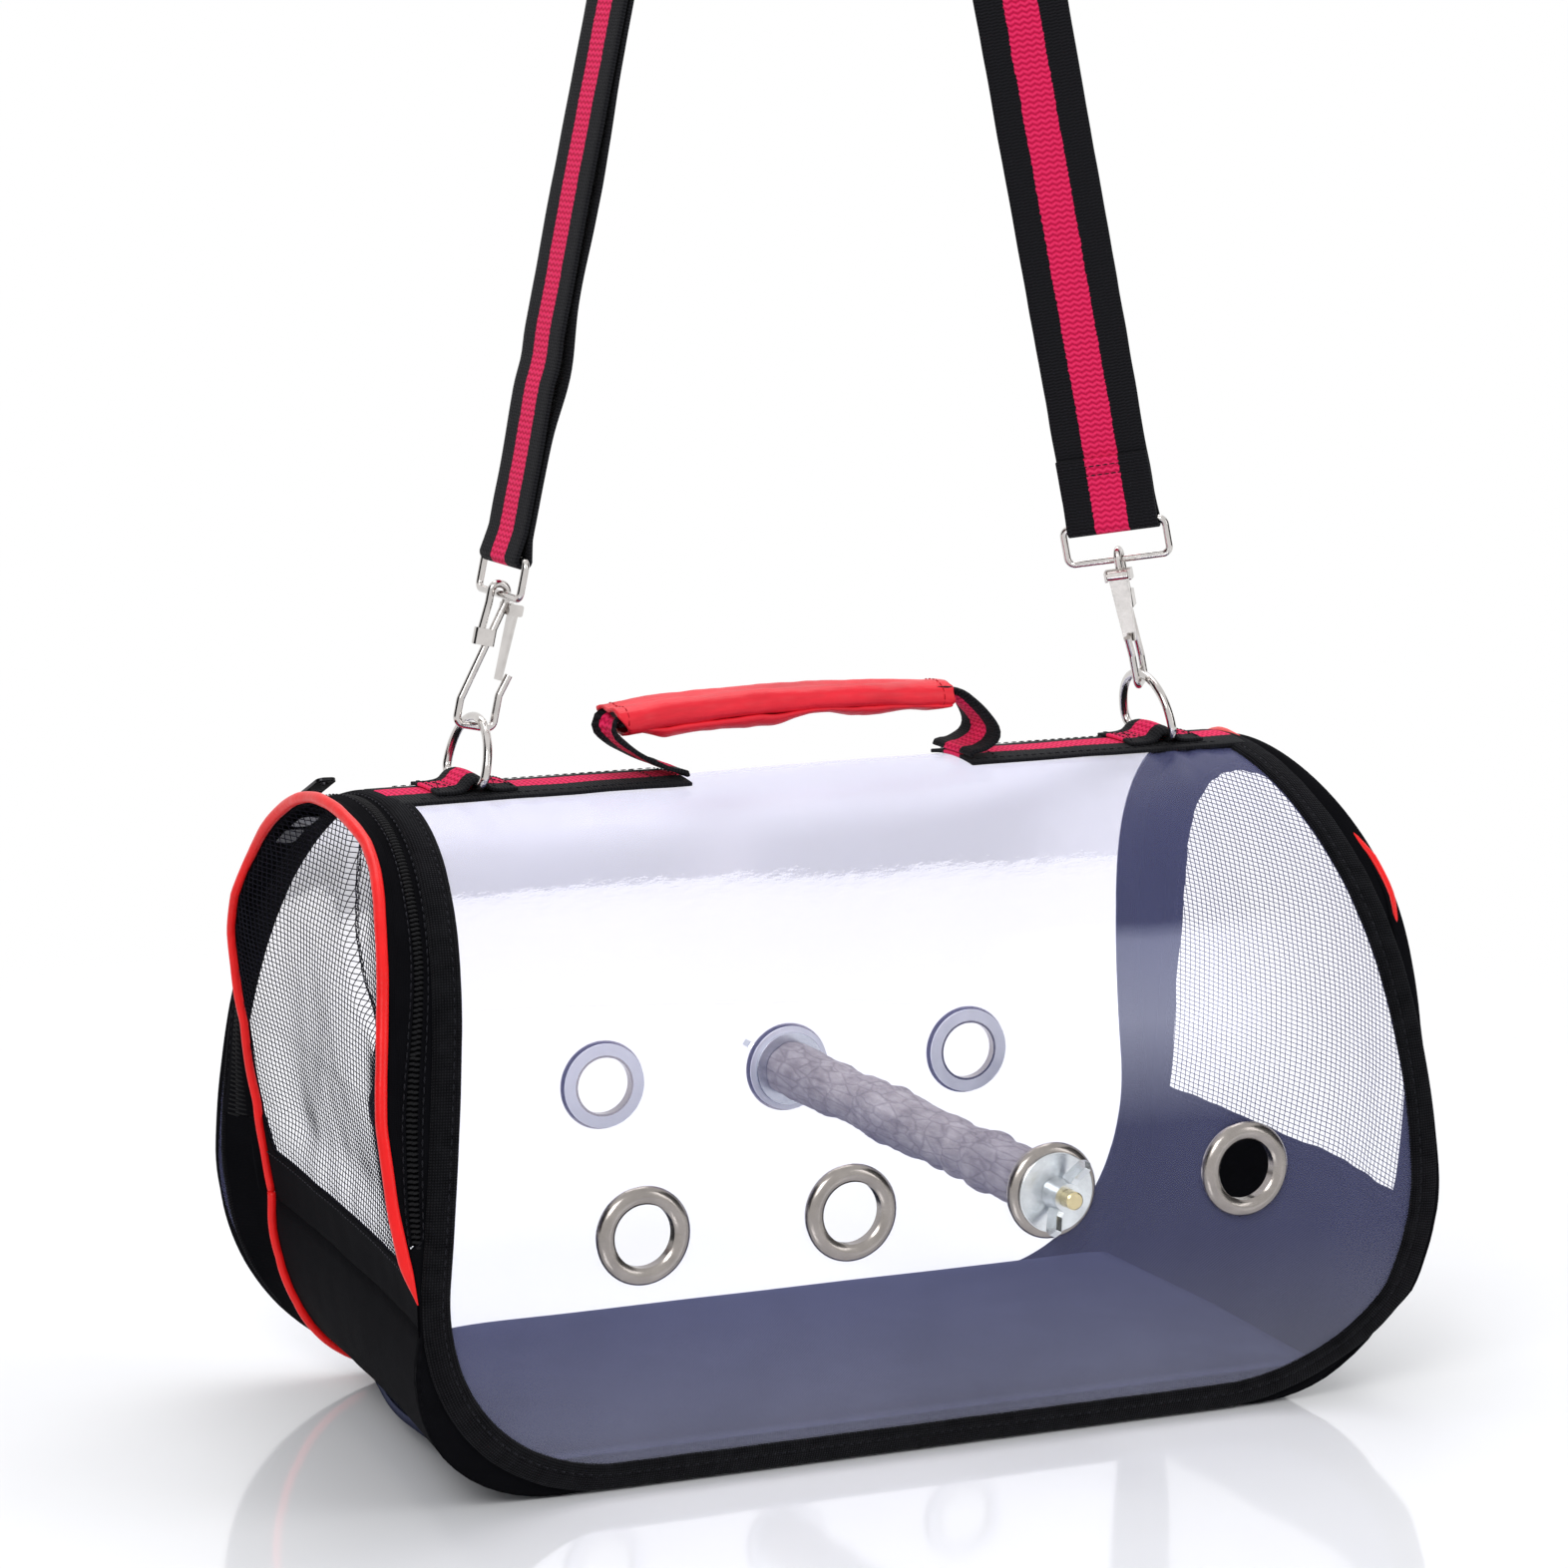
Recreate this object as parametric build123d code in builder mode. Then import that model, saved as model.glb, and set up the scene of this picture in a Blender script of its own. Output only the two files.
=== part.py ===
"""Soft travel carrier for birds.

A clear sheet is bent into an arch and bound along its whole edge to a black fabric cradle that
forms the floor and both ends. The left end is a zipped mesh door, the right end a fixed mesh
window. A natural perch is clamped through two eyelets, and a shoulder strap with wire snap hooks
is clipped to the two D-rings on the ridge.

Frame: X runs along the body with the door at -X, Y from front (-Y) to back (+Y), Z up.
The origin lies on the ground under the middle of the body. Millimetres.
"""

import os
from math import acos, atan2, cos, degrees, radians, sin, sqrt, tan

from build123d import *

os.makedirs("parts", exist_ok=True)

# ---------------------------------------------------------------- driving dimensions

# Arched body section, in Y-Z
ridge_height = 215.0
bulge_height = 88.0
bulge_half_width = 103.0
side_radius = 185.0

# Outline of the clear sheet seen from the front, in X-Z
seam_base = 9.0
seam_foot = 174.0
seam_waist = 167.3
seam_waist_height = ridge_height - 83.0
seam_top = 150.0
seam_corner_radius = 66.0

# Outline of the fabric ends and floor seen from the front, in X-Z
end_foot = 185.0
end_corner_radius = 58.0
fold_height = 64.0
left_bulge = 191.0
left_top = 178.0
right_bulge = 187.0
right_top = 165.0
end_bulge_height = ridge_height - 77.0

# Sheet goods
clear_sheet = 0.7
fabric = 1.6
mesh_sheet = 0.6
webbing = 1.6
webbing_width = 32.0
binding_width = 9.0
binding_outside = 1.3
binding_inside = 1.2
sheet_tuck = 6.0
piping_radius = 2.2

# Mesh windows
end_window_border = 13.0
door_window_border = 5.5
door_window_base = 82.0
end_window_base = 70.0

# Zip round the door
zip_top = 164.0
zip_tilt = 14.0
zip_straight_end = ridge_height - 50.0
zip_curve_end = ridge_height - 115.0
zip_end = zip_curve_end - 8.0
tooth_width = 1.5
tooth_thickness = 1.6
zip_slot = 1.3

# Zip sliders and their pulls
slider_length = 10.0
slider_width = 7.0
slider_plate = 1.2
slider_gap = 0.75
slider_post = 0.5
slider_post_length = 3.0
front_slider_angle = 27.0
back_slider_angle = 34.6
bail_height = 2.6
bail_wire = 1.1
bail_half_span = 2.9
pull_length = 22.0
pull_neck_width = 4.0
pull_width = 7.0
pull_thickness = 1.0
pull_eye_wall = 0.8
pull_running_clearance = 0.05
pull_hole = 3.0

# Floor
board_half_length = 118.0
board_half_width = 74.0
board_thickness = 3.0
board_corner = 12.0
pad_thickness = 12.0

# Eyelets
eyelet_positions = [-108.0, -36.0, 36.0, 108.0]
eyelet_bore = 20.5
eyelet_outer = 32.0
eyelet_wall = 0.8
eyelet_dome = 2.4

# Perch
perch_x = 36.0
perch_radius = 10.0
stud_diameter = 6.0
stud_hold = 18.0
stud_end = 5.0
fender_diameter = 26.5
fender_thickness = 1.3
nut_hub_diameter = 11.0
nut_height = 8.0
nut_wing_span = 27.0
nut_wing_thickness = 2.2
nut_running_clearance = 0.06
nut_turn_front = 62.0
nut_turn_back = 35.0

# Ridge webbing, D-rings and their tabs
strap_lean = 11.9
ring_spacing = 253.8
ring_bar_height = ridge_height + 3.8
ring_wire = 3.0
ring_half_bar = 13.0
ring_corner = 4.0
tab_half_width = 12.6
tab_half_length = 14.0
tab_webbing = 1.4

# Handle
handle_left_fold = -53.0
handle_right_fold = 54.5
grip_left = -76.0
grip_right = 51.0
grip_height = 12.0
grip_width = 21.0
grip_wall = 1.5
grip_left_centre = ridge_height + 20.0
grip_middle_centre = ridge_height + 23.5
grip_right_centre = ridge_height + 21.5
leg_width = 28.0
core_width = 15.0

# Snap hooks
hook_wire = 2.6
hook_half_width = 6.5
hook_eye_height = 40.8
hook_turn_right = 50.0
gate_thickness = 1.2
gate_root_width = 7.0
gate_tip_width = 4.2

# Strap rings
strap_ring_wire = 2.5
strap_ring_width = 36.0
strap_ring_depth = 12.5

# Shoulder strap
strap_webbing = 1.5
strap_apex_radius = 40.0
sewn_loop_length = 24.0
adjuster_distance = 240.0
apex_margin = 75.0
adjuster_width = 39.0
adjuster_length = 24.0
adjuster_thickness = 2.6

# General clearances
touch = 0.1
soft_clearance = 0.35

# ---------------------------------------------------------------- derived places

side_centre = side_radius - bulge_half_width
crown_rise = ridge_height - bulge_height
crown_radius = (side_radius**2 - side_centre**2 - crown_rise**2) / (2 * (side_radius - crown_rise))
crown_centre = ridge_height - crown_radius
crown_span = atan2(side_centre, crown_centre - bulge_height)
body_depth = bulge_half_width + 12.0
body_reach = left_bulge + 2 * bulge_half_width / 5
sky = ridge_height + 25.0
below = 10.0


# ---------------------------------------------------------------- shared bodies of the shell


def arch_point(inset, turn):
    """A point of the section, inset from the outer face; turn is 0 at the ridge."""
    radius = crown_radius - inset
    return (radius * sin(turn), crown_centre + radius * cos(turn))


def arch_prism(inset):
    """The body section as a long bar, inset from its outer face."""
    side = side_radius - inset
    half_foot = sqrt(side**2 - (bulge_height + below) ** 2) - side_centre
    right_shoulder = arch_point(inset, crown_span)
    left_shoulder = arch_point(inset, -crown_span)
    with BuildPart() as bar:
        with BuildSketch(Plane.YZ):
            with BuildLine():
                ThreePointArc((half_foot, -below), (bulge_half_width - inset, bulge_height), right_shoulder)
                ThreePointArc(right_shoulder, (0, ridge_height - inset), left_shoulder)
                ThreePointArc(left_shoulder, (inset - bulge_half_width, bulge_height), (-half_foot, -below))
                Line((-half_foot, -below), (half_foot, -below))
            make_face()
        extrude(amount=body_reach, both=True)
    return bar.part


def arch_shell(outer, inner):
    """The arch between two insets, open below."""
    with BuildPart() as shell:
        add(arch_prism(outer))
        add(arch_prism(inner), mode=Mode.SUBTRACT)
    return shell.part


def seam_prism(grow):
    """Everything inside the edge of the clear sheet seen from the front, grown outwards."""
    with BuildPart() as inside:
        with BuildSketch(Plane.XZ) as outline:
            with BuildLine():
                Polyline((seam_top, ridge_height), (seam_top, sky), (-seam_top, sky), (-seam_top, ridge_height))
                ThreePointArc(
                    (-seam_top, ridge_height), (-seam_waist, seam_waist_height), (-seam_foot, seam_base)
                )
                Line((-seam_foot, seam_base), (seam_foot, seam_base))
                ThreePointArc((seam_foot, seam_base), (seam_waist, seam_waist_height), (seam_top, ridge_height))
            make_face()
            fillet(outline.vertices().group_by(Axis.Y)[0], seam_corner_radius)
            if grow:
                offset(amount=grow, kind=Kind.INTERSECTION)
        extrude(amount=body_depth, both=True)
    return inside.part


def envelope_prism(inset):
    """Everything inside the fabric floor and ends seen from the front, inset from their outer face."""
    with BuildPart() as inside:
        with BuildSketch(Plane.XZ) as outline:
            with BuildLine():
                Line((-end_foot, 0), (end_foot, 0))
                Line((end_foot, 0), (end_foot, fold_height))
                ThreePointArc((end_foot, fold_height), (right_bulge, end_bulge_height), (right_top, ridge_height))
                Polyline((right_top, ridge_height), (right_top, sky), (-left_top, sky), (-left_top, ridge_height))
                ThreePointArc((-left_top, ridge_height), (-left_bulge, end_bulge_height), (-end_foot, fold_height))
                Line((-end_foot, fold_height), (-end_foot, 0))
            make_face()
            fillet(outline.vertices().group_by(Axis.Y)[0], end_corner_radius)
            if inset:
                offset(amount=-inset, kind=Kind.INTERSECTION)
        extrude(amount=body_depth, both=True)
    return inside.part


def end_sheet(outer, inner):
    """The sheet that runs down one end, under the floor and up the other end."""
    with BuildPart() as sheet:
        add(envelope_prism(outer))
        add(envelope_prism(inner), mode=Mode.SUBTRACT)
    return sheet.part


def zip_side_prism(shift, end=zip_end):
    """Everything on the door's side of the zip line, which is moved by shift towards +X."""
    lean = tan(radians(zip_tilt))
    bend_x = -zip_top - (ridge_height - zip_straight_end) * lean
    sky_x = -zip_top + (sky - ridge_height) * lean
    bend_radius = (zip_straight_end - zip_curve_end) / sin(radians(zip_tilt))
    low_x = bend_x - bend_radius * (1 - cos(radians(zip_tilt)))
    with BuildPart() as side:
        with BuildSketch(Plane.XZ):
            with BuildLine():
                Line((sky_x + shift, sky), (bend_x + shift, zip_straight_end))
                TangentArc(
                    (bend_x + shift, zip_straight_end),
                    (low_x + shift, zip_curve_end),
                    tangent=(-sin(radians(zip_tilt)), -cos(radians(zip_tilt))),
                )
                Polyline(
                    (low_x + shift, zip_curve_end),
                    (low_x + shift, end),
                    (-body_reach, end),
                    (-body_reach, sky),
                    (sky_x + shift, sky),
                )
            make_face()
        extrude(amount=body_depth, both=True)
    return side.part


def slab(x_low, x_high, z_low, z_high, y_half=body_depth):
    """An upright block that trims a piece to a stretch of the body."""
    with BuildPart() as block:
        with BuildSketch(Plane.XY.offset(z_low)):
            with Locations(((x_low + x_high) / 2, 0)):
                Rectangle(x_high - x_low, 2 * y_half)
        extrude(amount=z_high - z_low)
    return block.part


def window_prism(sign, base, border):
    """The opening of a mesh window, cut through one end."""
    with BuildPart() as opening:
        add(arch_prism(border))
        x_low, x_high = sorted((sign * seam_top, sign * body_reach))
        add(slab(x_low, x_high, base, sky), mode=Mode.INTERSECT)
        fillet(opening.edges().filter_by(Axis.X).group_by(Axis.Z)[0], border / 2)
    return opening.part


def piping_strip(x_low, x_high, z_low, z_high):
    """The cord sewn along the corner between an end and the arch."""
    with BuildPart() as cord:
        add(arch_shell(-piping_radius, piping_radius))
        add(end_sheet(-piping_radius, piping_radius), mode=Mode.INTERSECT)
        add(slab(x_low, x_high, z_low, z_high), mode=Mode.INTERSECT)
    return cord.part


def save(piece, name):
    """Label a finished piece and write it."""
    piece.label = name
    export_step(piece, f"parts/{name}.step")


# ---------------------------------------------------------------- clear sheet and binding

bulge_face = -bulge_half_width
eyelet_sheet_hole = eyelet_bore / 2 + eyelet_wall + touch

with BuildPart() as clear_panel:
    add(arch_shell(0, clear_sheet))
    add(seam_prism(sheet_tuck), mode=Mode.INTERSECT)
    for x in eyelet_positions:
        with BuildSketch(Plane.XZ):
            with Locations((x, bulge_height)):
                Circle(eyelet_sheet_hole)
    extrude(amount=body_depth, both=True, mode=Mode.SUBTRACT)
save(clear_panel.part, "clear_panel")

with BuildPart() as edge_binding:
    add(arch_shell(-binding_outside, clear_sheet + binding_inside))
    add(seam_prism(binding_width), mode=Mode.INTERSECT)
    add(seam_prism(0), mode=Mode.SUBTRACT)
    add(clear_panel.part, mode=Mode.SUBTRACT)
save(edge_binding.part, "edge_binding")

# ---------------------------------------------------------------- fabric floor and arch bands

with BuildPart() as lower_piping:
    add(piping_strip(-body_reach, -seam_top / 2, 2 * piping_radius, fold_height))
    split(bisect_by=Plane.XZ, keep=Keep.BOTTOM)
save(lower_piping.part, "lower_piping")

with BuildPart() as base_fabric:
    add(end_sheet(0, fabric))
    add(arch_prism(piping_radius), mode=Mode.INTERSECT)
    add(slab(-body_reach, body_reach, -fabric, fold_height), mode=Mode.INTERSECT)
save(base_fabric.part, "base_fabric")

door_room = piping_radius + soft_clearance

with BuildPart() as left_band:
    add(arch_shell(0, fabric))
    add(envelope_prism(fabric), mode=Mode.INTERSECT)
    add(slab(-body_reach, -seam_corner_radius, 0, sky), mode=Mode.INTERSECT)
    add(seam_prism(binding_width), mode=Mode.SUBTRACT)
    add(zip_side_prism(zip_slot / 2 + tooth_width), mode=Mode.SUBTRACT)
    with BuildPart(mode=Mode.PRIVATE) as door_path:
        add(end_sheet(-body_depth, door_room))
        add(slab(-body_reach, 0, fold_height - soft_clearance, sky), mode=Mode.INTERSECT)
    add(door_path.part, mode=Mode.SUBTRACT)
    add(lower_piping.part, mode=Mode.SUBTRACT)
save(left_band.part, "left_band")

with BuildPart() as right_band:
    add(arch_shell(0, fabric))
    add(envelope_prism(fabric), mode=Mode.INTERSECT)
    add(slab(seam_corner_radius, body_reach, 0, sky), mode=Mode.INTERSECT)
    add(seam_prism(binding_width), mode=Mode.SUBTRACT)
    add(piping_strip(seam_corner_radius, body_reach, fold_height, sky), mode=Mode.SUBTRACT)
save(right_band.part, "right_band")


# ---------------------------------------------------------------- right end

right_cord = piping_strip(seam_corner_radius, body_reach, fold_height, sky)

with BuildPart() as right_end_panel:
    add(end_sheet(0, fabric))
    add(arch_prism(0), mode=Mode.INTERSECT)
    add(slab(seam_corner_radius, body_reach, fold_height, sky), mode=Mode.INTERSECT)
    add(window_prism(1, end_window_base, end_window_border), mode=Mode.SUBTRACT)
    add(right_cord, mode=Mode.SUBTRACT)
save(right_end_panel.part, "right_end_panel")

with BuildPart() as right_end_mesh:
    add(end_sheet(mesh_sheet, 2 * mesh_sheet))
    add(window_prism(1, end_window_base, end_window_border), mode=Mode.INTERSECT)
save(right_end_mesh.part, "right_end_mesh")

with BuildPart() as right_end_piping:
    add(right_cord)
    add(right_band.part, mode=Mode.SUBTRACT)
save(right_end_piping.part, "right_end_piping")

# ---------------------------------------------------------------- zip and door

door_edge = -zip_slot / 2 - tooth_width
door_rim_base = zip_end + soft_clearance

with BuildPart() as zip_teeth_band:
    add(arch_shell(0, tooth_thickness))
    add(zip_side_prism(zip_slot / 2 + tooth_width), mode=Mode.INTERSECT)
    add(zip_side_prism(zip_slot / 2), mode=Mode.SUBTRACT)
save(zip_teeth_band.part, "zip_teeth_band")

with BuildPart() as zip_teeth_door:
    add(arch_shell(0, tooth_thickness))
    add(zip_side_prism(-zip_slot / 2, door_rim_base), mode=Mode.INTERSECT)
    add(zip_side_prism(door_edge, door_rim_base), mode=Mode.SUBTRACT)
save(zip_teeth_door.part, "zip_teeth_door")

with BuildPart() as door_piping:
    add(piping_strip(-body_reach, -seam_top / 2, fold_height + soft_clearance, sky))
save(door_piping.part, "door_piping")

with BuildPart() as door_panel:
    add(end_sheet(0, fabric))
    add(arch_prism(0), mode=Mode.INTERSECT)
    add(slab(-body_reach, -seam_corner_radius, fold_height + soft_clearance, sky), mode=Mode.INTERSECT)
    add(window_prism(-1, door_window_base, door_window_border), mode=Mode.SUBTRACT)
    add(door_piping.part, mode=Mode.SUBTRACT)
save(door_panel.part, "door_panel")

with BuildPart() as door_rim:
    add(arch_shell(0, fabric))
    add(envelope_prism(fabric), mode=Mode.INTERSECT)
    add(zip_side_prism(door_edge, door_rim_base), mode=Mode.INTERSECT)
    add(door_piping.part, mode=Mode.SUBTRACT)
save(door_rim.part, "door_rim")

with BuildPart() as door_mesh:
    add(end_sheet(mesh_sheet, 2 * mesh_sheet))
    add(window_prism(-1, door_window_base, door_window_border), mode=Mode.INTERSECT)
save(door_mesh.part, "door_mesh")

# ---------------------------------------------------------------- zip sliders and pulls


def zip_plane(turn):
    """A plane on the zip line: X along the zip, Z out of the arch."""
    turn = radians(turn)
    z = crown_centre + crown_radius * cos(turn)
    x = -zip_top - (ridge_height - z) * tan(radians(zip_tilt))
    along = (-sin(turn) * tan(radians(zip_tilt)), cos(turn), -sin(turn))
    return Plane(origin=(x, crown_radius * sin(turn), z), x_dir=along, z_dir=(0, sin(turn), cos(turn)))


bail_axis = slider_gap + slider_plate + bail_height - bail_wire / 2


def zip_slider(turn):
    """Two plates joined through the zip, with a bail on the outer plate."""
    place = zip_plane(turn)
    inner = -tooth_thickness - slider_gap
    with BuildPart() as slider:
        for level in (slider_gap, inner - slider_plate):
            with BuildSketch(place.offset(level)):
                RectangleRounded(slider_length, slider_width, slider_width / 4)
            extrude(amount=slider_plate)
        with BuildSketch(place.offset(inner)):
            Rectangle(slider_post_length, slider_post)
        extrude(amount=slider_gap - inner)
        for side in (-1, 1):
            with BuildSketch(place.offset(slider_gap + slider_plate)):
                with Locations((0, side * bail_half_span)):
                    Rectangle(bail_wire, bail_wire)
            extrude(amount=bail_height)
        cross = Plane(origin=place.from_local_coords((0, 0, bail_axis)), x_dir=place.x_dir, z_dir=place.y_dir)
        with BuildSketch(cross):
            Circle(bail_wire / 2)
        extrude(amount=bail_half_span, both=True)
    return slider.part


def slider_pull(turn, trail):
    """The flat tab that swings on a slider's bail and trails along the zip."""
    place = zip_plane(turn)
    hole = bail_wire / 2 + pull_running_clearance
    eye = hole + pull_eye_wall
    cross = Plane(origin=place.from_local_coords((0, 0, bail_axis)), x_dir=place.x_dir, z_dir=place.y_dir)
    flat = Plane(origin=cross.origin, x_dir=place.x_dir * trail, z_dir=place.z_dir)
    with BuildPart() as pull:
        with BuildSketch(cross):
            Circle(eye)
        extrude(amount=pull_neck_width / 2, both=True)
        with BuildSketch(flat.offset(-pull_thickness / 2)) as tab:
            with Locations((pull_width / 2, 0)):
                Rectangle(pull_width, pull_neck_width)
            with Locations((pull_width + (pull_length - pull_width) / 2, 0)):
                Rectangle(pull_length - pull_width, pull_width)
            fillet(tab.vertices().group_by(Axis.X)[-1], pull_width / 3)
            with Locations((pull_length - pull_width / 2, 0)):
                Circle(pull_hole / 2, mode=Mode.SUBTRACT)
        extrude(amount=pull_thickness)
        with BuildSketch(cross):
            Circle(hole)
        extrude(amount=pull_width, both=True, mode=Mode.SUBTRACT)
    return pull.part


save(zip_slider(front_slider_angle), "zip_slider_front")
save(zip_slider(back_slider_angle), "zip_slider_back")
save(slider_pull(front_slider_angle, -1), "zip_pull_front")
save(slider_pull(back_slider_angle, 1), "zip_pull_back")

# ---------------------------------------------------------------- floor

with BuildPart() as base_board:
    with BuildSketch(Plane.XY.offset(fabric)):
        RectangleRounded(2 * board_half_length, 2 * board_half_width, board_corner)
    extrude(amount=board_thickness)
save(base_board.part, "base_board")

pad_base = fabric + board_thickness
pad_inset = fabric + touch

with BuildPart() as floor_pad:
    add(slab(-body_reach, body_reach, pad_base, pad_base + pad_thickness))
    add(envelope_prism(pad_inset + soft_clearance), mode=Mode.INTERSECT)
    add(arch_prism(clear_sheet + binding_inside + soft_clearance), mode=Mode.INTERSECT)
save(floor_pad.part, "floor_pad")

# ---------------------------------------------------------------- eyelets

washer_back = -(2 * clear_sheet + eyelet_wall + touch)
washer_front = washer_back + eyelet_wall
barrel_radius = eyelet_bore / 2 + eyelet_wall


def face_plane(x, side):
    """A plane on the widest line of the body, with Z pointing outwards; side is -1 at the front."""
    return Plane(origin=(x, side * bulge_half_width, bulge_height), x_dir=(-side, 0, 0), z_dir=(0, side, 0))


def turned(x, side, outline):
    """A ring turned about the axis through an eyelet; outline holds radius and outward height."""
    place = face_plane(x, side)
    section = Plane(origin=place.origin, x_dir=place.x_dir, z_dir=place.y_dir * -1)
    with BuildPart() as ring:
        with BuildSketch(section):
            with BuildLine():
                Polyline(*outline, close=True)
            make_face()
        revolve(axis=Axis(place.origin, place.z_dir))
    return ring.part


def eyelet(x, side):
    """A domed metal ring with a barrel that passes through the sheet."""
    place = face_plane(x, side)
    section = Plane(origin=place.origin, x_dir=place.x_dir, z_dir=place.y_dir * -1)
    bore = eyelet_bore / 2
    crest = (bore + eyelet_outer / 2) / 2
    with BuildPart() as ring:
        with BuildSketch(section):
            with BuildLine():
                Polyline((bore, eyelet_dome / 2), (bore, washer_back), (barrel_radius, washer_back))
                Polyline((barrel_radius, washer_back), (barrel_radius, touch / 2), (eyelet_outer / 2, touch / 2))
                Line((eyelet_outer / 2, touch / 2), (eyelet_outer / 2, touch + touch))
                ThreePointArc((eyelet_outer / 2, touch + touch), (crest, eyelet_dome), (bore, eyelet_dome / 2))
            make_face()
        revolve(axis=Axis(place.origin, place.z_dir))
    return ring.part


def eyelet_washer(x, side):
    """The flat ring clinched behind the sheet."""
    outer = eyelet_outer / 2 - eyelet_wall
    outline = [(barrel_radius, washer_back), (outer, washer_back), (outer, washer_front), (barrel_radius, washer_front)]
    return turned(x, side, outline)


def row(maker, side):
    """One of the same piece at every eyelet position along a face."""
    with BuildPart() as pieces:
        for x in eyelet_positions:
            add(maker(x, side))
    return pieces.part


save(row(eyelet, -1), "eyelets_front")
save(row(eyelet, 1), "eyelets_back")
save(row(eyelet_washer, -1), "eyelet_washers_front")
save(row(eyelet_washer, 1), "eyelet_washers_back")

# ---------------------------------------------------------------- perch

stud_radius = stud_diameter / 2
fender_hole = stud_radius + touch
branch_half = bulge_half_width + washer_back - fender_thickness
fender_seat = eyelet_dome + touch
nut_seat = fender_seat + fender_thickness + touch
stud_reach = bulge_half_width + nut_seat + nut_height + stud_end

with BuildPart() as perch:
    swell = perch_radius / 12
    stations = [-1.0, -0.82, -0.5, -0.28, 0.02, 0.3, 0.55, 0.84, 1.0]
    swells = [-1.0, 1.0, -0.6, 1.2, -0.8, 0.9, -0.9, 0.8, -1.0]
    with BuildSketch(Plane.XY.offset(bulge_height)):
        with BuildLine():
            rim_line = Spline(
                *[(perch_x + perch_radius + swell * s, branch_half * t) for t, s in zip(stations, swells)]
            )
            Polyline(rim_line @ 1, (perch_x, branch_half), (perch_x, -branch_half), rim_line @ 0)
        make_face()
    revolve(axis=Axis((perch_x, 0, bulge_height), (0, 1, 0)))
save(perch.part, "perch")

with BuildPart() as perch_studs:
    for side in (-1, 1):
        with BuildSketch(face_plane(perch_x, side).offset(washer_back - fender_thickness)):
            Circle(stud_radius)
        extrude(amount=nut_seat + nut_height + stud_end - washer_back + fender_thickness)
        chamfer(perch_studs.faces().sort_by(Axis.Y)[0 if side < 0 else -1].edges(), stud_radius / 6)
save(perch_studs.part, "perch_studs")


def fender(side, level):
    """A wide washer with its inner face at the given outward height."""
    with BuildPart() as disc:
        with BuildSketch(face_plane(perch_x, side).offset(level)):
            Circle(fender_diameter / 2)
            Circle(fender_hole, mode=Mode.SUBTRACT)
        extrude(amount=fender_thickness)
        chamfer(disc.edges().filter_by(GeomType.CIRCLE).sort_by(SortBy.RADIUS)[-2:], fender_thickness / 6)
    return disc.part


with BuildPart() as perch_washers_outer:
    for side in (-1, 1):
        add(fender(side, fender_seat))
save(perch_washers_outer.part, "perch_washers_outer")

with BuildPart() as perch_washers_inner:
    for side in (-1, 1):
        add(fender(side, washer_back - fender_thickness))
save(perch_washers_inner.part, "perch_washers_inner")


def wing_nut(side, turn):
    """A nut with two flared wings, screwed against the outer washer."""
    seat = face_plane(perch_x, side).offset(nut_seat)
    wing_dir = seat.x_dir * cos(radians(turn)) + seat.y_dir * sin(radians(turn))
    seat = Plane(origin=seat.origin, x_dir=wing_dir, z_dir=seat.z_dir)
    wings = Plane(origin=seat.origin, x_dir=seat.x_dir, z_dir=seat.y_dir * -1)
    half = nut_wing_span / 2
    hub = nut_hub_diameter / 2
    with BuildPart() as nut:
        with BuildSketch(seat):
            Circle(hub)
        extrude(amount=nut_height, taper=hub)
        for mirror_sign in (-1, 1):
            with BuildSketch(wings) as wing:
                with BuildLine():
                    Polyline(
                        (mirror_sign * hub * 0.7, nut_height * 0.15),
                        (mirror_sign * hub * 1.2, nut_height * 0.2),
                        (mirror_sign * half * 0.94, nut_height * 0.75),
                        (mirror_sign * half, nut_height * 1.15),
                        (mirror_sign * half * 0.82, nut_height * 1.45),
                        (mirror_sign * half * 0.5, nut_height * 1.0),
                        (mirror_sign * hub * 0.7, nut_height * 0.92),
                        close=True,
                    )
                make_face()
                fillet(wing.vertices(), nut_wing_thickness / 4)
            extrude(amount=nut_wing_thickness / 2, both=True)
        with BuildSketch(seat):
            Circle(stud_radius + nut_running_clearance)
        extrude(amount=2 * nut_height, mode=Mode.SUBTRACT)
    return nut.part


save(wing_nut(-1, nut_turn_front), "wing_nut_front")
save(wing_nut(1, nut_turn_back), "wing_nut_back")

# ---------------------------------------------------------------- ridge webbing, tabs and D-rings

ridge_half_width = webbing_width / 2
left_ring = -ring_spacing / 2
right_ring = ring_spacing / 2
tab_floor = ridge_height + webbing + 2 * touch


def ridge_strap(x_low, x_high):
    """Webbing laid along the ridge on top of the clear sheet."""
    with BuildPart() as strip:
        add(arch_shell(-webbing - touch, -touch))
        add(slab(x_low, x_high, ridge_height / 2, sky, ridge_half_width), mode=Mode.INTERSECT)
    return strip.part


save(ridge_strap(-seam_top + 1, handle_left_fold), "top_strap_left")
save(ridge_strap(handle_right_fold, seam_top - 1), "top_strap_right")

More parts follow.
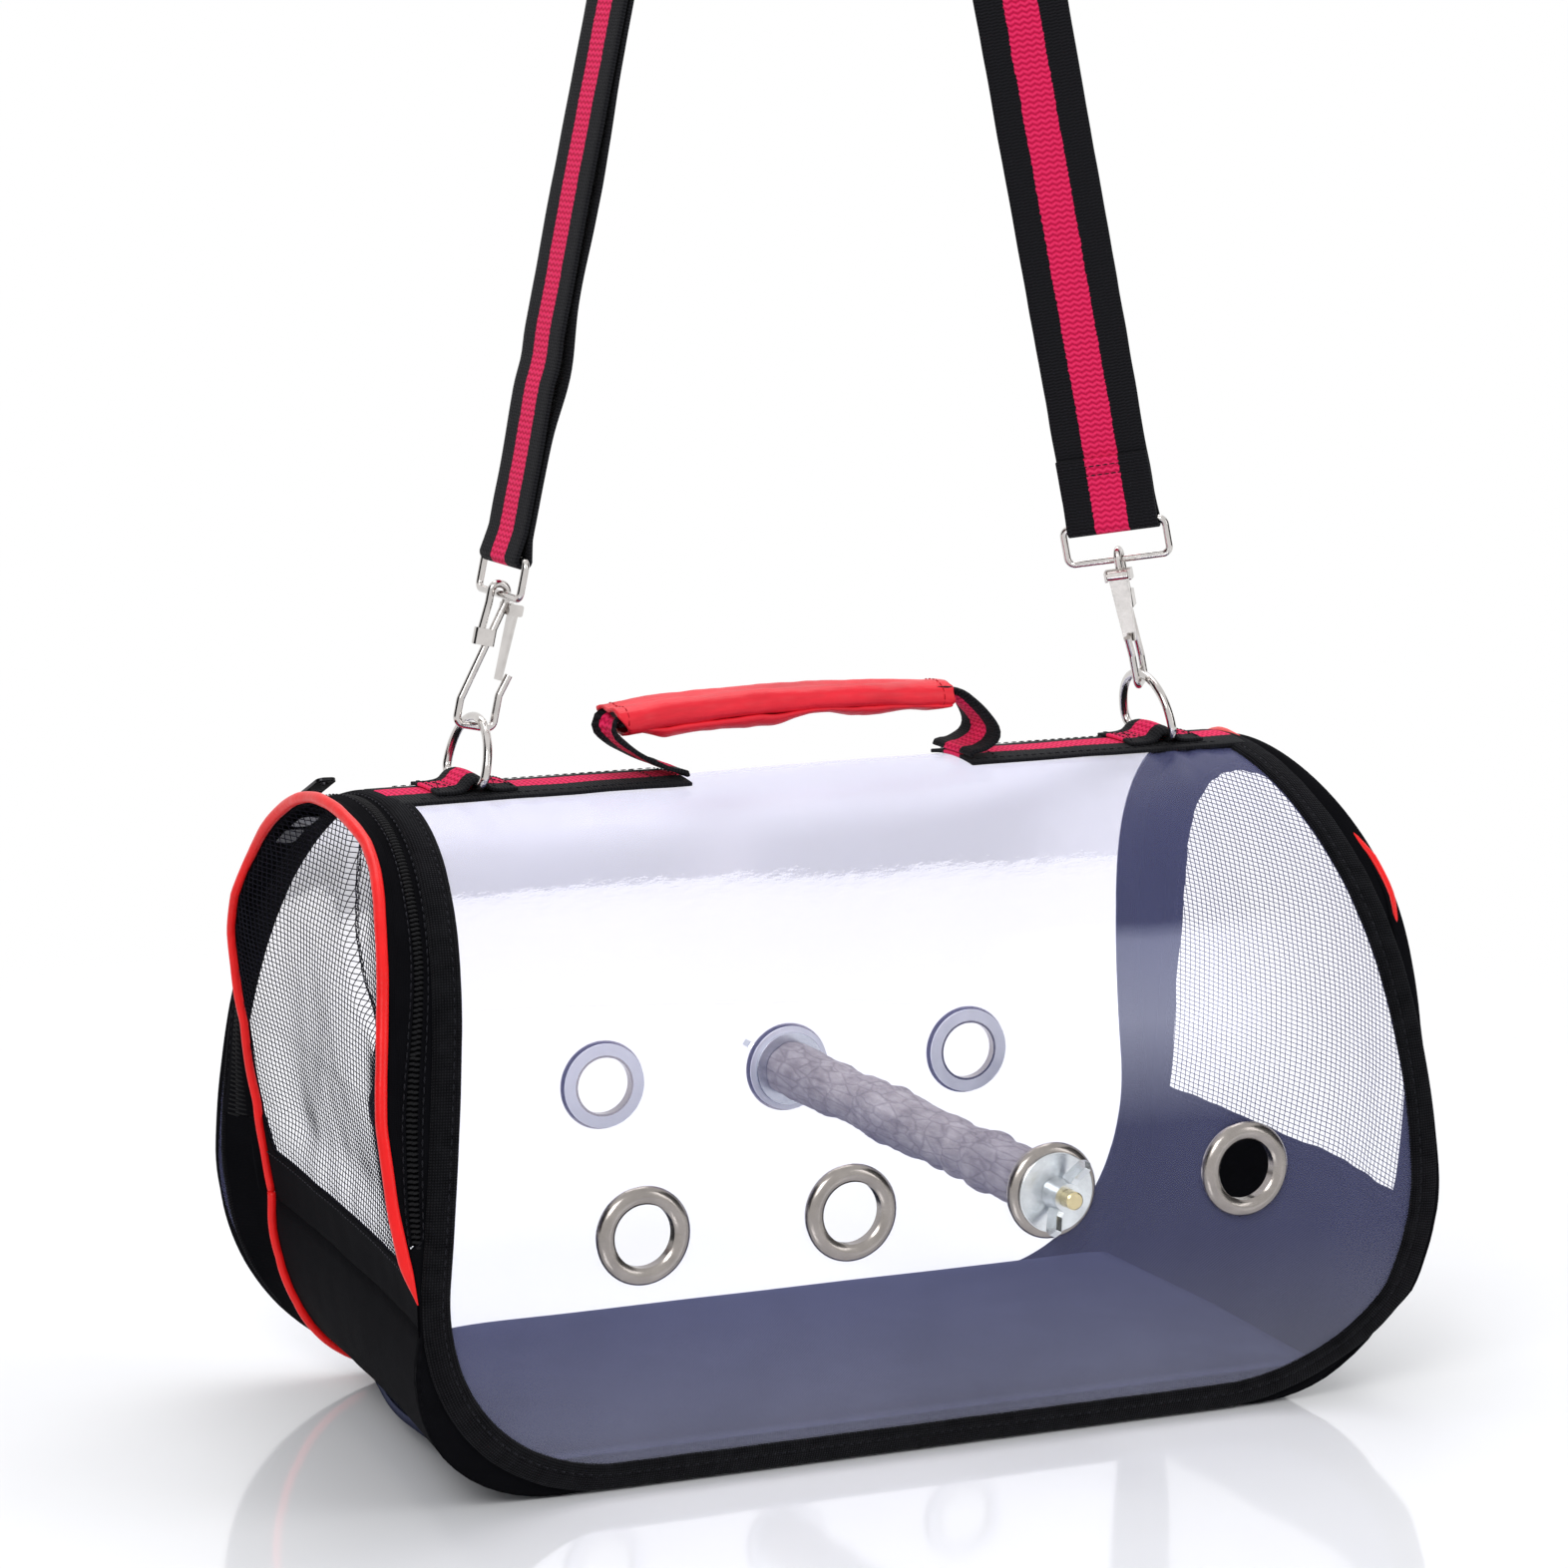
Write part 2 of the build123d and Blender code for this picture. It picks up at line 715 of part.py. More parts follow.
with BuildPart() as ring_tabs:
    for x in (left_ring, right_ring):
        with BuildSketch(Plane.XZ):
            with Locations((x, ring_bar_height)):
                Circle(ring_wire / 2 + touch + tab_webbing)
            with Locations((x, tab_floor + tab_webbing / 2)):
                Rectangle(2 * tab_half_length, tab_webbing)
            with Locations((x, tab_floor - tab_half_length)):
                Rectangle(2 * tab_half_length, 2 * tab_half_length, mode=Mode.SUBTRACT)
            with Locations((x, ring_bar_height)):
                Circle(ring_wire / 2 + touch, mode=Mode.SUBTRACT)
        extrude(amount=tab_half_width, both=True)
save(ring_tabs.part, "ring_tabs")


def lean_plane(x, sign):
    """Upright plane through a ring's bar: X along the body's width, Y up the leaning strap."""
    up = Vector(sign * sin(radians(strap_lean)), 0, cos(radians(strap_lean)))
    return Plane(origin=(x, 0, ring_bar_height), x_dir=(0, 1, 0), z_dir=Vector(0, 1, 0).cross(up))


ring_bend = ring_half_bar + ring_corner


def d_ring(x, sign):
    """A wire ring with a straight bar and a half-round bow."""
    place = lean_plane(x, sign)
    halves = []
    for side in (-1, 1):
        with BuildPart() as half:
            with BuildLine(place) as path:
                Line((0, 0), (side * ring_half_bar, 0))
                RadiusArc((side * ring_half_bar, 0), (side * ring_bend, ring_corner), -side * ring_corner)
                ThreePointArc(
                    (side * ring_bend, ring_corner),
                    (side * ring_bend * sin(radians(45)), ring_corner + ring_bend * cos(radians(45))),
                    (0, ring_corner + ring_bend),
                )
            with BuildSketch(Plane(origin=place.origin, z_dir=place.x_dir)):
                Circle(ring_wire / 2)
            sweep()
        halves.append(half.part)
    with BuildPart() as ring:
        add(halves)
    return ring.part


save(d_ring(left_ring, 1), "d_ring_left")
save(d_ring(right_ring, -1), "d_ring_right")

# ---------------------------------------------------------------- handle

leg_half_width = leg_width / 2
grip_half_height = grip_height / 2


def grip_centre(x):
    """Height of the middle of the grip at a place along it."""
    span = (x - grip_left) / (grip_right - grip_left)
    sag = grip_middle_centre - (grip_left_centre + grip_right_centre) / 2
    return grip_left_centre + (grip_right_centre - grip_left_centre) * span + 4 * sag * span * (1 - span)


def grip_bar(x_low, x_high, width, height):
    """A rounded bar that follows the bow of the grip."""
    middle = (x_low + x_high) / 2
    with BuildPart() as bar:
        with BuildLine(Plane.XZ) as path:
            ThreePointArc(
                (x_low, grip_centre(x_low)), (middle, grip_centre(middle)), (x_high, grip_centre(x_high))
            )
        with BuildSketch(Plane(origin=path.line @ 0, x_dir=(0, 1, 0), z_dir=path.line % 0)):
            RectangleRounded(width, height, height * 0.45)
        sweep()
    return bar.part


with BuildPart() as handle_grip:
    add(grip_bar(grip_left, grip_right, grip_width, grip_height))
    add(
        grip_bar(grip_left - grip_wall, grip_right + grip_wall, grip_width - 2 * grip_wall, grip_height - 2 * grip_wall),
        mode=Mode.SUBTRACT,
    )
save(handle_grip.part, "handle_grip")

with BuildPart() as handle_core:
    add(grip_bar(grip_left + grip_wall, grip_right - grip_wall, core_width, grip_height - 2 * grip_wall))
save(handle_core.part, "handle_core")


def handle_leg(points, bend):
    """Webbing folded up from the ridge into one end of the grip."""
    with BuildPart() as leg:
        with BuildSketch(Plane.XZ):
            with BuildLine() as path:
                FilletPolyline(*points, radius=bend)
            trace(path.line, webbing)
        extrude(amount=leg_half_width, both=True)
    return leg.part


leg_floor = ridge_height + webbing + touch + soft_clearance + webbing / 2
leg_step = 6.0
left_leg = handle_leg(
    [
        (handle_left_fold, leg_floor),
        (grip_left + leg_step / 2, grip_left_centre - grip_half_height - leg_step * 0.6),
        (grip_left - leg_step * 0.9, grip_left_centre - leg_step / 4),
        (grip_left - 1.3 * webbing, grip_left_centre + grip_half_height / 2),
    ],
    leg_step / 4,
)
save(left_leg, "handle_leg_left")
right_leg = handle_leg(
    [
        (handle_right_fold, leg_floor),
        (grip_right + 2.5 * leg_step, leg_floor + leg_step),
        (grip_right + leg_step, grip_right_centre - leg_step / 4),
        (grip_right + webbing, grip_right_centre + grip_half_height / 2),
    ],
    leg_step / 4,
)
save(right_leg, "handle_leg_right")

# ---------------------------------------------------------------- snap hooks and strap rings


def chain_plane(x, sign, turn):
    """Plane of a hook: X towards its nose, Y up the strap, starting at the top of the D-ring's wire."""
    up = Vector(sign * sin(radians(strap_lean)), 0, cos(radians(strap_lean)))
    start = Vector(x, 0, ring_bar_height) + up * (ring_corner + ring_bend)
    inward = Vector(sign * cos(radians(strap_lean)), 0, -sin(radians(strap_lean)))
    across = up.cross(inward)
    nose = inward * cos(radians(turn)) + across * sin(radians(turn))
    return Plane(origin=start, x_dir=nose, z_dir=nose.cross(up))


hook_seat = -(hook_wire + ring_wire) / 2 - 0.3
eye_half = hook_half_width * 0.43
eye_top = hook_eye_height + 3.2
ferrule_low = 23.5
ferrule_high = 29.0
ferrule_half_width = 3.7
ferrule_half_depth = 2.1
ferrule_shift = -2.3
nose_height = 15.0
nose_reach = 8.7
pin_height = 36.5
pin_reach = 6.1
pin_radius = 0.8
pin_clearance = 0.06
pin_wall = 0.75
gate_low = 13.0
gate_tip_reach = 5.2
cheek_half = gate_root_width / 2 + 0.3
cheek_thickness = 0.8
saddle_half_height = 1.9


def snap_hook(place):
    """Bent wire hook with an eye for the strap ring and a saddle that carries the gate's pin."""
    with BuildPart() as hook:
        with BuildLine(place) as path:
            FilletPolyline(
                (nose_reach, nose_height),
                (hook_half_width, 8.0),
                (hook_half_width, hook_seat),
                (-hook_half_width, hook_seat),
                (-hook_half_width, 5.0),
                (eye_half, hook_eye_height - 2.8),
                (eye_half, eye_top),
                (-eye_half - touch, eye_top),
                (-eye_half - touch, hook_eye_height - 3.3),
                (-4.2, ferrule_low),
                radius=2.6,
            )
        with BuildSketch(Plane(origin=path.line @ 0, z_dir=path.line % 0)):
            Circle(hook_wire / 2)
        sweep(transition=Transition.ROUND)
        wall = place.origin + place.y_dir * pin_height
        for side in (-1, 1):
            with BuildSketch(place.offset(side * (cheek_half + cheek_thickness / 2) - cheek_thickness / 2)):
                with Locations(((eye_half + pin_reach) / 2 + pin_radius, pin_height)):
                    RectangleRounded(pin_reach - eye_half + 2 * pin_radius, 2 * saddle_half_height, pin_radius)
            extrude(amount=cheek_thickness)
        with BuildSketch(place.offset(-cheek_half - cheek_thickness)):
            with Locations((eye_half + cheek_thickness * 1.3, pin_height)):
                Rectangle(cheek_thickness * 1.4, 2 * saddle_half_height)
        extrude(amount=2 * (cheek_half + cheek_thickness))
        with BuildSketch(place.offset(-cheek_half - cheek_thickness)):
            with Locations((pin_reach, pin_height)):
                Circle(pin_radius)
        extrude(amount=2 * (cheek_half + cheek_thickness))
    return hook.part


def hook_ferrule(place, hook):
    """The sleeve that clamps the tail of the wire to its spine."""
    with BuildPart() as ferrule:
        with BuildSketch(place.offset(-ferrule_half_depth)):
            with Locations((ferrule_shift, (ferrule_low + ferrule_high) / 2)):
                Rectangle(2 * ferrule_half_width, ferrule_high - ferrule_low)
        extrude(amount=2 * ferrule_half_depth)
        fillet(ferrule.edges().filter_by(Axis((0, 0, 0), place.y_dir)), ferrule_half_depth * 0.8)
        add(hook, mode=Mode.SUBTRACT)
    return ferrule.part


def hook_gate(place):
    """The sprung strip that closes the hook, rolled round its pin at the top."""
    lean = atan2(pin_reach - gate_tip_reach, pin_height - gate_low)
    down = place.y_dir * -cos(lean) - place.x_dir * sin(lean)
    pin = place.origin + place.x_dir * pin_reach + place.y_dir * pin_height
    face = Plane(origin=pin, x_dir=place.z_dir, z_dir=place.z_dir.cross(down))
    reach = pin_height - gate_low
    outer = pin_radius + pin_clearance + pin_wall
    with BuildPart() as gate:
        with BuildSketch(face.offset(-gate_thickness / 2)):
            with BuildLine():
                Polyline(
                    (-gate_root_width / 2, 0),
                    (gate_root_width / 2, 0),
                    (gate_tip_width / 2, reach),
                    (-gate_tip_width / 2, reach),
                    close=True,
                )
            make_face()
        extrude(amount=gate_thickness)
        across = Plane(origin=pin, x_dir=place.x_dir, z_dir=place.z_dir)
        with BuildSketch(across.offset(-gate_root_width / 2)):
            Circle(outer)
        extrude(amount=gate_root_width)
        with BuildSketch(across.offset(-gate_root_width / 2)):
            Circle(pin_radius + pin_clearance)
        extrude(amount=gate_root_width, mode=Mode.SUBTRACT)
    return gate.part


def strap_ring(place):
    """Rectangular wire loop between a hook's eye and the webbing."""
    half = strap_ring_width / 2
    across = Plane(origin=place.origin, x_dir=place.z_dir, z_dir=place.z_dir.cross(place.y_dir))
    low = hook_eye_height
    high = hook_eye_height + strap_ring_depth
    halves = []
    for side in (-1, 1):
        with BuildPart() as bow:
            with BuildLine(across) as path:
                FilletPolyline((0, low), (side * half, low), (side * half, high), (0, high), radius=strap_ring_wire)
            with BuildSketch(Plane(origin=path.line @ 0, z_dir=path.line % 0)):
                Circle(strap_ring_wire / 2)
            sweep()
        halves.append(bow.part)
    with BuildPart() as ring:
        add(halves)
    return ring.part


left_chain = chain_plane(left_ring, 1, 0)
right_chain = chain_plane(right_ring, -1, hook_turn_right)

for name, chain in (("left", left_chain), ("right", right_chain)):
    wire = snap_hook(chain)
    save(wire, f"snap_hook_{name}")
    save(hook_ferrule(chain, wire), f"hook_ferrule_{name}")
    save(hook_gate(chain), f"hook_gate_{name}")
    save(strap_ring(chain), f"strap_ring_{name}")

# ---------------------------------------------------------------- shoulder strap

strap_half_width = webbing_width / 2
bar_height = hook_eye_height + strap_ring_depth
loop_radius = strap_ring_wire / 2 + soft_clearance + strap_webbing / 2
ply_offset = strap_webbing / 2 + touch
loop_rise = 9.0
apex_start = adjuster_distance + apex_margin
twist_start = 195.0
twist_steps = 6


def strap_run(place, loop_end, main_end):
    """Two plies of webbing looped round a ring, seen in the plane across the webbing."""
    with BuildPart() as run:
        with BuildSketch(place):
            with BuildLine() as path:
                Polyline((ply_offset, bar_height + loop_end), (ply_offset, bar_height + loop_rise))
                Line((ply_offset, bar_height + loop_rise), (loop_radius, bar_height))
                ThreePointArc(
                    (loop_radius, bar_height), (0, bar_height - loop_radius), (-loop_radius, bar_height)
                )
                Polyline(
                    (-loop_radius, bar_height),
                    (-ply_offset, bar_height + loop_rise),
                    (-ply_offset, bar_height + main_end),
                )
            trace(path.line, strap_webbing)
        extrude(amount=strap_half_width, both=True)
    return run.part


def run_point(place, along):
    """A point in the middle of the main ply."""
    return place.origin + place.y_dir * (bar_height + along) - place.x_dir * ply_offset


flat_right = chain_plane(right_ring, -1, 0)
left_top = run_point(left_chain, apex_start)
right_top = run_point(flat_right, apex_start)
left_dir = left_chain.y_dir
right_dir = flat_right.y_dir
apex_reach = strap_apex_radius * cos(radians(strap_lean))
apex_slope = tan(radians(strap_lean))
left_rise = (-apex_reach - left_top.X) / apex_slope
shoulder_height = left_top.Z + left_rise
apex_height = shoulder_height + strap_apex_radius * (1 - sin(radians(strap_lean)))
right_foot_x = apex_reach + (shoulder_height - right_top.Z) * apex_slope

with BuildPart() as shoulder_strap:
    add(strap_run(left_chain, adjuster_distance, apex_start))
    add(strap_run(right_chain, sewn_loop_length, twist_start))
    with BuildSketch(Plane.XZ):
        with BuildLine():
            for shift in (-strap_webbing / 2, strap_webbing / 2):
                reach = apex_reach + shift * cos(radians(strap_lean))
                rise = shoulder_height + shift * sin(radians(strap_lean))
                side_x = shift * cos(radians(strap_lean))
                side_z = shift * sin(radians(strap_lean))
                Line((left_top.X - side_x, left_top.Z + side_z), (-reach, rise))
                ThreePointArc((-reach, rise), (0, apex_height + shift), (reach, rise))
                Line((reach, rise), (right_foot_x + side_x, right_top.Z + side_z))
            left_side = strap_webbing / 2 * cos(radians(strap_lean))
            left_drop = strap_webbing / 2 * sin(radians(strap_lean))
            Line((left_top.X - left_side, left_top.Z + left_drop), (left_top.X + left_side, left_top.Z - left_drop))
            Line(
                (right_foot_x - left_side, right_top.Z - left_drop),
                (right_foot_x + left_side, right_top.Z + left_drop),
            )
        make_face()
    extrude(amount=strap_half_width, both=True)
    low_point = run_point(right_chain, twist_start)
    high_point = Vector(right_foot_x, 0, right_top.Z)
    for step in range(twist_steps + 1):
        share = step / twist_steps
        ease = share * share * (3 - 2 * share)
        turn = hook_turn_right * (1 - ease)
        section = chain_plane(right_ring, -1, turn)
        middle = low_point + (high_point - low_point) * share
        with BuildSketch(Plane(origin=middle, x_dir=section.z_dir, z_dir=section.y_dir)):
            Rectangle(webbing_width, strap_webbing)
    loft(ruled=False)
save(shoulder_strap.part, "shoulder_strap")

rail_width = 3.0
bar_width = 4.0

with BuildPart() as strap_adjuster:
    web_stack = 2 * ply_offset + strap_webbing
    across = Plane(origin=left_chain.origin, x_dir=left_chain.z_dir, z_dir=left_chain.z_dir.cross(left_chain.y_dir))
    level = bar_height + adjuster_distance
    with BuildSketch(across.offset(-web_stack / 2 - touch - adjuster_thickness / 2)):
        for side in (-1, 1):
            with Locations((side * (adjuster_width - rail_width) / 2, level)):
                RectangleRounded(rail_width, adjuster_length, rail_width / 4)
    extrude(amount=web_stack + 2 * touch + adjuster_thickness)
    for height, side in ((-1, 1), (0, -1), (1, 1)):
        outward = side * (web_stack / 2 + touch + adjuster_thickness / 4)
        with BuildSketch(across.offset(outward - adjuster_thickness / 4)):
            with Locations((0, level + height * (adjuster_length - bar_width) / 2)):
                Rectangle(adjuster_width - rail_width, bar_width)
        extrude(amount=adjuster_thickness / 2)
save(strap_adjuster.part, "strap_adjuster")
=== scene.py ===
"""Dressed model of the bird travel carrier. Lengths are millimetres unless a name ends in _m."""

import math
from itertools import groupby

import bpy
import numpy as np
from mathutils import Matrix, Vector, noise


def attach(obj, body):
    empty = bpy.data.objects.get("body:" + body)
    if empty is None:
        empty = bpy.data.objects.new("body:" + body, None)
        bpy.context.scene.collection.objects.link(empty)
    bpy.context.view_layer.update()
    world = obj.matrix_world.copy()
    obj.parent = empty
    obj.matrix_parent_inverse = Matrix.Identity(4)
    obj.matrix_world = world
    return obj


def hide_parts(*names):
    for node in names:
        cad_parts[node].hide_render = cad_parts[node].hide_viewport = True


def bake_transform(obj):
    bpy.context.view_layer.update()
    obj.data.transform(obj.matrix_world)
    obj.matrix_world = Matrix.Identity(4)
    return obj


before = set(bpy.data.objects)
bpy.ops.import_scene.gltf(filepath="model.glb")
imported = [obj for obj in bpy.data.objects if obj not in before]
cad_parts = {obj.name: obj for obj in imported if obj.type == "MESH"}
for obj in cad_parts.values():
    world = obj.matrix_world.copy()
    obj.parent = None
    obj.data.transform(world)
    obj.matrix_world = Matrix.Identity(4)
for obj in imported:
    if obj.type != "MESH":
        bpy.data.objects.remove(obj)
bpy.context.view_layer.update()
MM = 0.001

# -------------------------------- section and outlines of the body

RIDGE, BULGE_Z, BULGE_Y = 215.0, 88.0, 103.0
SIDE_R = 185.0
SIDE_A = SIDE_R - BULGE_Y
CROWN_R = (SIDE_R**2 - SIDE_A**2 - (RIDGE - BULGE_Z) ** 2) / (2 * (SIDE_R - (RIDGE - BULGE_Z)))
CROWN_Z = RIDGE - CROWN_R
CROWN_SPAN = math.atan2(SIDE_A, CROWN_Z - BULGE_Z)


def arch(turn, inset=0.0):
    """(y, z) on the arch at a turn from the ridge, negative at the front."""
    side = -1.0 if turn < 0 else 1.0
    t = abs(turn)
    if t <= CROWN_SPAN:
        r = CROWN_R - inset
        return side * r * math.sin(t), CROWN_Z + r * math.cos(t)
    r = SIDE_R - inset
    return side * (r * math.sin(t) - SIDE_A), BULGE_Z + r * math.cos(t)


def turn_at(z, inset=0.0):
    """The turn at which the arch has a height, at the back."""
    shoulder = CROWN_Z + (CROWN_R - inset) * math.cos(CROWN_SPAN)
    if z >= shoulder:
        return math.acos(min(1.0, (z - CROWN_Z) / (CROWN_R - inset)))
    return math.acos(max(-1.0, min(1.0, (z - BULGE_Z) / (SIDE_R - inset))))


def run_length(turn):
    """Length along the arch from the ridge."""
    t = abs(turn)
    length = CROWN_R * min(t, CROWN_SPAN) + SIDE_R * max(0.0, t - CROWN_SPAN)
    return math.copysign(length, turn)


def turns(low, high, count):
    """Turns spaced evenly along the arch."""
    a, b = run_length(low), run_length(high)
    edge = CROWN_R * CROWN_SPAN
    out = []
    for i in range(count):
        s = a + (b - a) * i / (count - 1)
        t = abs(s)
        t = t / CROWN_R if t <= edge else CROWN_SPAN + (t - edge) / SIDE_R
        out.append(math.copysign(t, s))
    return out


def circle(p, q, r):
    """Centre and radius of the circle through three points."""
    ax, ay, bx, by, cx, cy = *p, *q, *r
    d = 2 * (ax * (by - cy) + bx * (cy - ay) + cx * (ay - by))
    a, b, c = ax**2 + ay**2, bx**2 + by**2, cx**2 + cy**2
    ux = (a * (by - cy) + b * (cy - ay) + c * (ay - by)) / d
    uy = (a * (cx - bx) + b * (ax - cx) + c * (bx - ax)) / d
    return ux, uy, math.hypot(ax - ux, ay - uy)


SEAM = circle((174.0, 9.0), (167.3, 132.0), (150.0, RIDGE))
SEAM_FILLET, SEAM_FLOOR = 66.0, 9.0
SEAM_FZ = SEAM_FLOOR + SEAM_FILLET
SEAM_FX = SEAM[0] + math.sqrt((SEAM[2] - SEAM_FILLET) ** 2 - (SEAM_FZ - SEAM[1]) ** 2)
SEAM_TZ = SEAM[1] + (SEAM_FZ - SEAM[1]) * SEAM[2] / (SEAM[2] - SEAM_FILLET)
BIND = 9.2


def seam_x(z, grow=0.0):
    """Half length of the clear sheet at a height."""
    if z > SEAM_TZ:
        return SEAM[0] + math.sqrt(max(0.0, (SEAM[2] + grow) ** 2 - (z - SEAM[1]) ** 2))
    r = SEAM_FILLET + grow
    return SEAM_FX + math.sqrt(max(0.0, r * r - (z - SEAM_FZ) ** 2))


END_FOOT, END_FILLET, FOLD_Z = 185.0, 58.0, 64.0
RIGHT_ARC = circle((END_FOOT, FOLD_Z), (187.0, 138.0), (165.0, RIDGE))
LEFT_ARC = circle((END_FOOT, FOLD_Z), (191.0, 138.0), (178.0, RIDGE))


def end_x(z, side, inset=0.0):
    """Distance of an end's outer face from the middle; side is -1 at the door."""
    arc = RIGHT_ARC if side > 0 else LEFT_ARC
    if z >= FOLD_Z:
        return arc[0] + math.sqrt(max(0.0, (arc[2] - inset) ** 2 - (z - arc[1]) ** 2))
    if z >= END_FILLET:
        return END_FOOT - inset
    return END_FOOT - END_FILLET + math.sqrt(max(0.0, (END_FILLET - inset) ** 2 - (END_FILLET - z) ** 2))


def table(points, v):
    """Linear reading of a table of (place, value) rows."""
    if v <= points[0][0]:
        return points[0][1]
    for (a, fa), (b, fb) in zip(points, points[1:]):
        if v <= b:
            return fa + (fb - fa) * ((v - a) / (b - a))
    return points[-1][1]


def smooth(a, b, v):
    """0 at a, 1 at b, with a soft start and end."""
    t = min(1.0, max(0.0, (v - a) / (b - a)))
    return t * t * (3 - 2 * t)


# How far the soft left end has been pushed in, by height: at the front corner, at the back corner along X,
# at the back corner along the arch's depth, and at the binding's back edge.
PUSH_FRONT = [(20, 0.0), (50, 1.5), (74, 4.2), (88, 1.8), (103, 0.3), (130, -1.0), (144, 0.0), (168, 2.4),
              (189, 4.4), (200, 6.0), (207, 6.2), (215, 3.0)]
PUSH_BACK_X = [(0, 10.5), (10, 12.0), (24, 16.0), (40, 19.0), (59, 19.6), (80, 20.2), (99, 20.4), (129, 17.4),
               (150, 12.8), (161, 10.3), (175, 7.6), (190, 7.2), (207, 4.8), (215, 3.0)]
PUSH_BACK_Y = [(0, 5.5), (24, 12.0), (59, 18.0), (80, 19.0), (99, 18.0), (129, 13.5), (161, 6.5), (190, 3.0),
               (207, 1.0), (215, 0.0)]
PUSH_SEAM = [(0, 0.5), (25, 1.5), (64, 4.6), (110, 3.0), (150, 1.0), (190, 0.0), (215, 0.0)]
# The fixed end, by height: how far its front corner has sunk in, how far its piping is tucked behind the
# binding, and how far the binding swells out at its foot.
PUSH_RIGHT = [(0, 0.0), (12, 5.0), (40, 10.0), (70, 11.5), (120, 10.0), (150, 6.5), (175, 3.0), (200, 1.0),
              (215, 0.0)]
TUCK_RIGHT = [(60, 0.0), (95, 0.6), (118, 3.6), (162, 3.7), (171, 2.2), (183, 2.2), (191, 3.9), (215, 3.9)]
SWELL_RIGHT = [(0, 2.0), (9, 3.0), (22, 4.2), (38, 4.4), (50, 1.8), (62, 0.3), (75, 0.0)]


def left_corner(turn, f, lift=0.0):
    """Point between the binding's outer edge (f 0) and the piping (f 1) at the door end."""
    z = arch(turn)[1]
    edge, rim, deep = -seam_x(z, BIND), -end_x(z, -1), 0.0
    if turn < 0:
        rim += table(PUSH_FRONT, z)
    else:
        rim += table(PUSH_BACK_X, z)
        edge += table(PUSH_SEAM, z)
        deep = table(PUSH_BACK_Y, z) * f
    return (edge + (rim - edge) * f, *arch(turn, deep - lift))


def right_corner(turn, f, lift):
    """The same at the fixed end."""
    z = arch(turn)[1]
    edge, rim = seam_x(z, BIND), end_x(z, 1)
    if turn < 0:
        edge += table(SWELL_RIGHT, z)
        rim -= table(PUSH_RIGHT, z)
        lift -= 2.2 * f * smooth(0.0, 8.0, table(PUSH_RIGHT, z))
    return (edge + (rim - edge) * f, *arch(turn, -lift))


# -------------------------------- mesh helpers

MIDDLE = (0.0, 0.0, 100.0)


def new_object(name, data):
    """An object in the scene that holds the data."""
    obj = bpy.data.objects.new(name, data)
    bpy.context.scene.collection.objects.link(obj)
    return obj


def make(name, shape, body, slot, material, *replaces):
    """An object from a shape (millimetre points, faces, UVs in metres), riding on a CAD body."""
    verts, faces, uv = shape
    name = name.replace(" ", "_")
    mesh = bpy.data.meshes.new(name)
    mesh.from_pydata([(x * MM, y * MM, z * MM) for x, y, z in verts], [], faces)
    mesh.update()
    index = np.zeros(len(mesh.loops), np.int32)
    mesh.loops.foreach_get("vertex_index", index)
    mesh.uv_layers.new(name="UVMap").data.foreach_set("uv", np.array(uv, np.float32)[index].ravel())
    mesh.polygons.foreach_set("use_smooth", [True] * len(mesh.polygons))
    obj = new_object(name, mesh)
    mesh.materials.append(material)
    if body:
        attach(obj, body)
    if replaces:
        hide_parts(*replaces)
    return obj


def grid(rows, close_u=False, close_v=False):
    """The shape of a grid of points; rows run along v."""
    nv, nu = len(rows), len(rows[0])
    faces = []
    for i in range(nv if close_v else nv - 1):
        for j in range(nu if close_u else nu - 1):
            a, b = i * nu, ((i + 1) % nv) * nu
            faces.append((a + j, a + (j + 1) % nu, b + (j + 1) % nu, b + j))
    points = np.array(rows, float)
    du, dv = np.zeros((nv, nu)), np.zeros((nv, nu))
    du[:, 1:] = np.linalg.norm(np.diff(points, axis=1), axis=2).cumsum(axis=1)
    dv[1:, :] = np.linalg.norm(np.diff(points, axis=0), axis=2).cumsum(axis=0)
    mid = nu // 2
    uv = np.stack([du - du[:, mid][:, None], np.repeat(dv[:, mid][:, None], nu, axis=1)], axis=2) * MM
    return [p for row in rows for p in row], faces, uv.reshape(-1, 2)


def round_angles(count):
    """Angles spaced evenly round a full circle."""
    return [2 * math.pi * k / count for k in range(count)]


def capped(shape, sides, way=1):
    """A tube's shape with its first and last ring closed; way is -1 where the rings run the other way."""
    verts, faces, uv = shape
    ring = tuple(range(sides))[::way]
    last = len(verts) - sides
    return verts, faces + [ring, tuple(last + k for k in reversed(ring))], uv


def tube(path, radius, sides=14, cap=True, first=None):
    """A tube along a path, without twist; radius may be a list or a number."""
    points = [Vector(p) for p in path]
    along = [(b - a).normalized() for a, b in zip(points[:1] + points[:-1], points[1:] + points[-1:])]
    up = Vector(first) if first is not None else Vector((0, 0, 1) if abs(along[0].z) < 0.9 else (1, 0, 0))
    normal = (up - along[0] * up.dot(along[0])).normalized()
    rows = []
    for i, (p, t) in enumerate(zip(points, along)):
        if i:
            axis = along[i - 1].cross(t)
            if axis.length > 1e-9:
                bend = math.atan2(axis.length, along[i - 1].dot(t))
                normal = Matrix.Rotation(bend, 3, axis.normalized()) @ normal
            normal = (normal - t * normal.dot(t)).normalized()
        r = radius[i] if isinstance(radius, (list, tuple)) else radius
        rows.append([tuple(p + normal * (r * math.cos(a)) + t.cross(normal) * (r * math.sin(a)))
                     for a in round_angles(sides)])
    shape = grid(rows, close_u=True)
    return capped(shape, sides, -1) if cap else shape


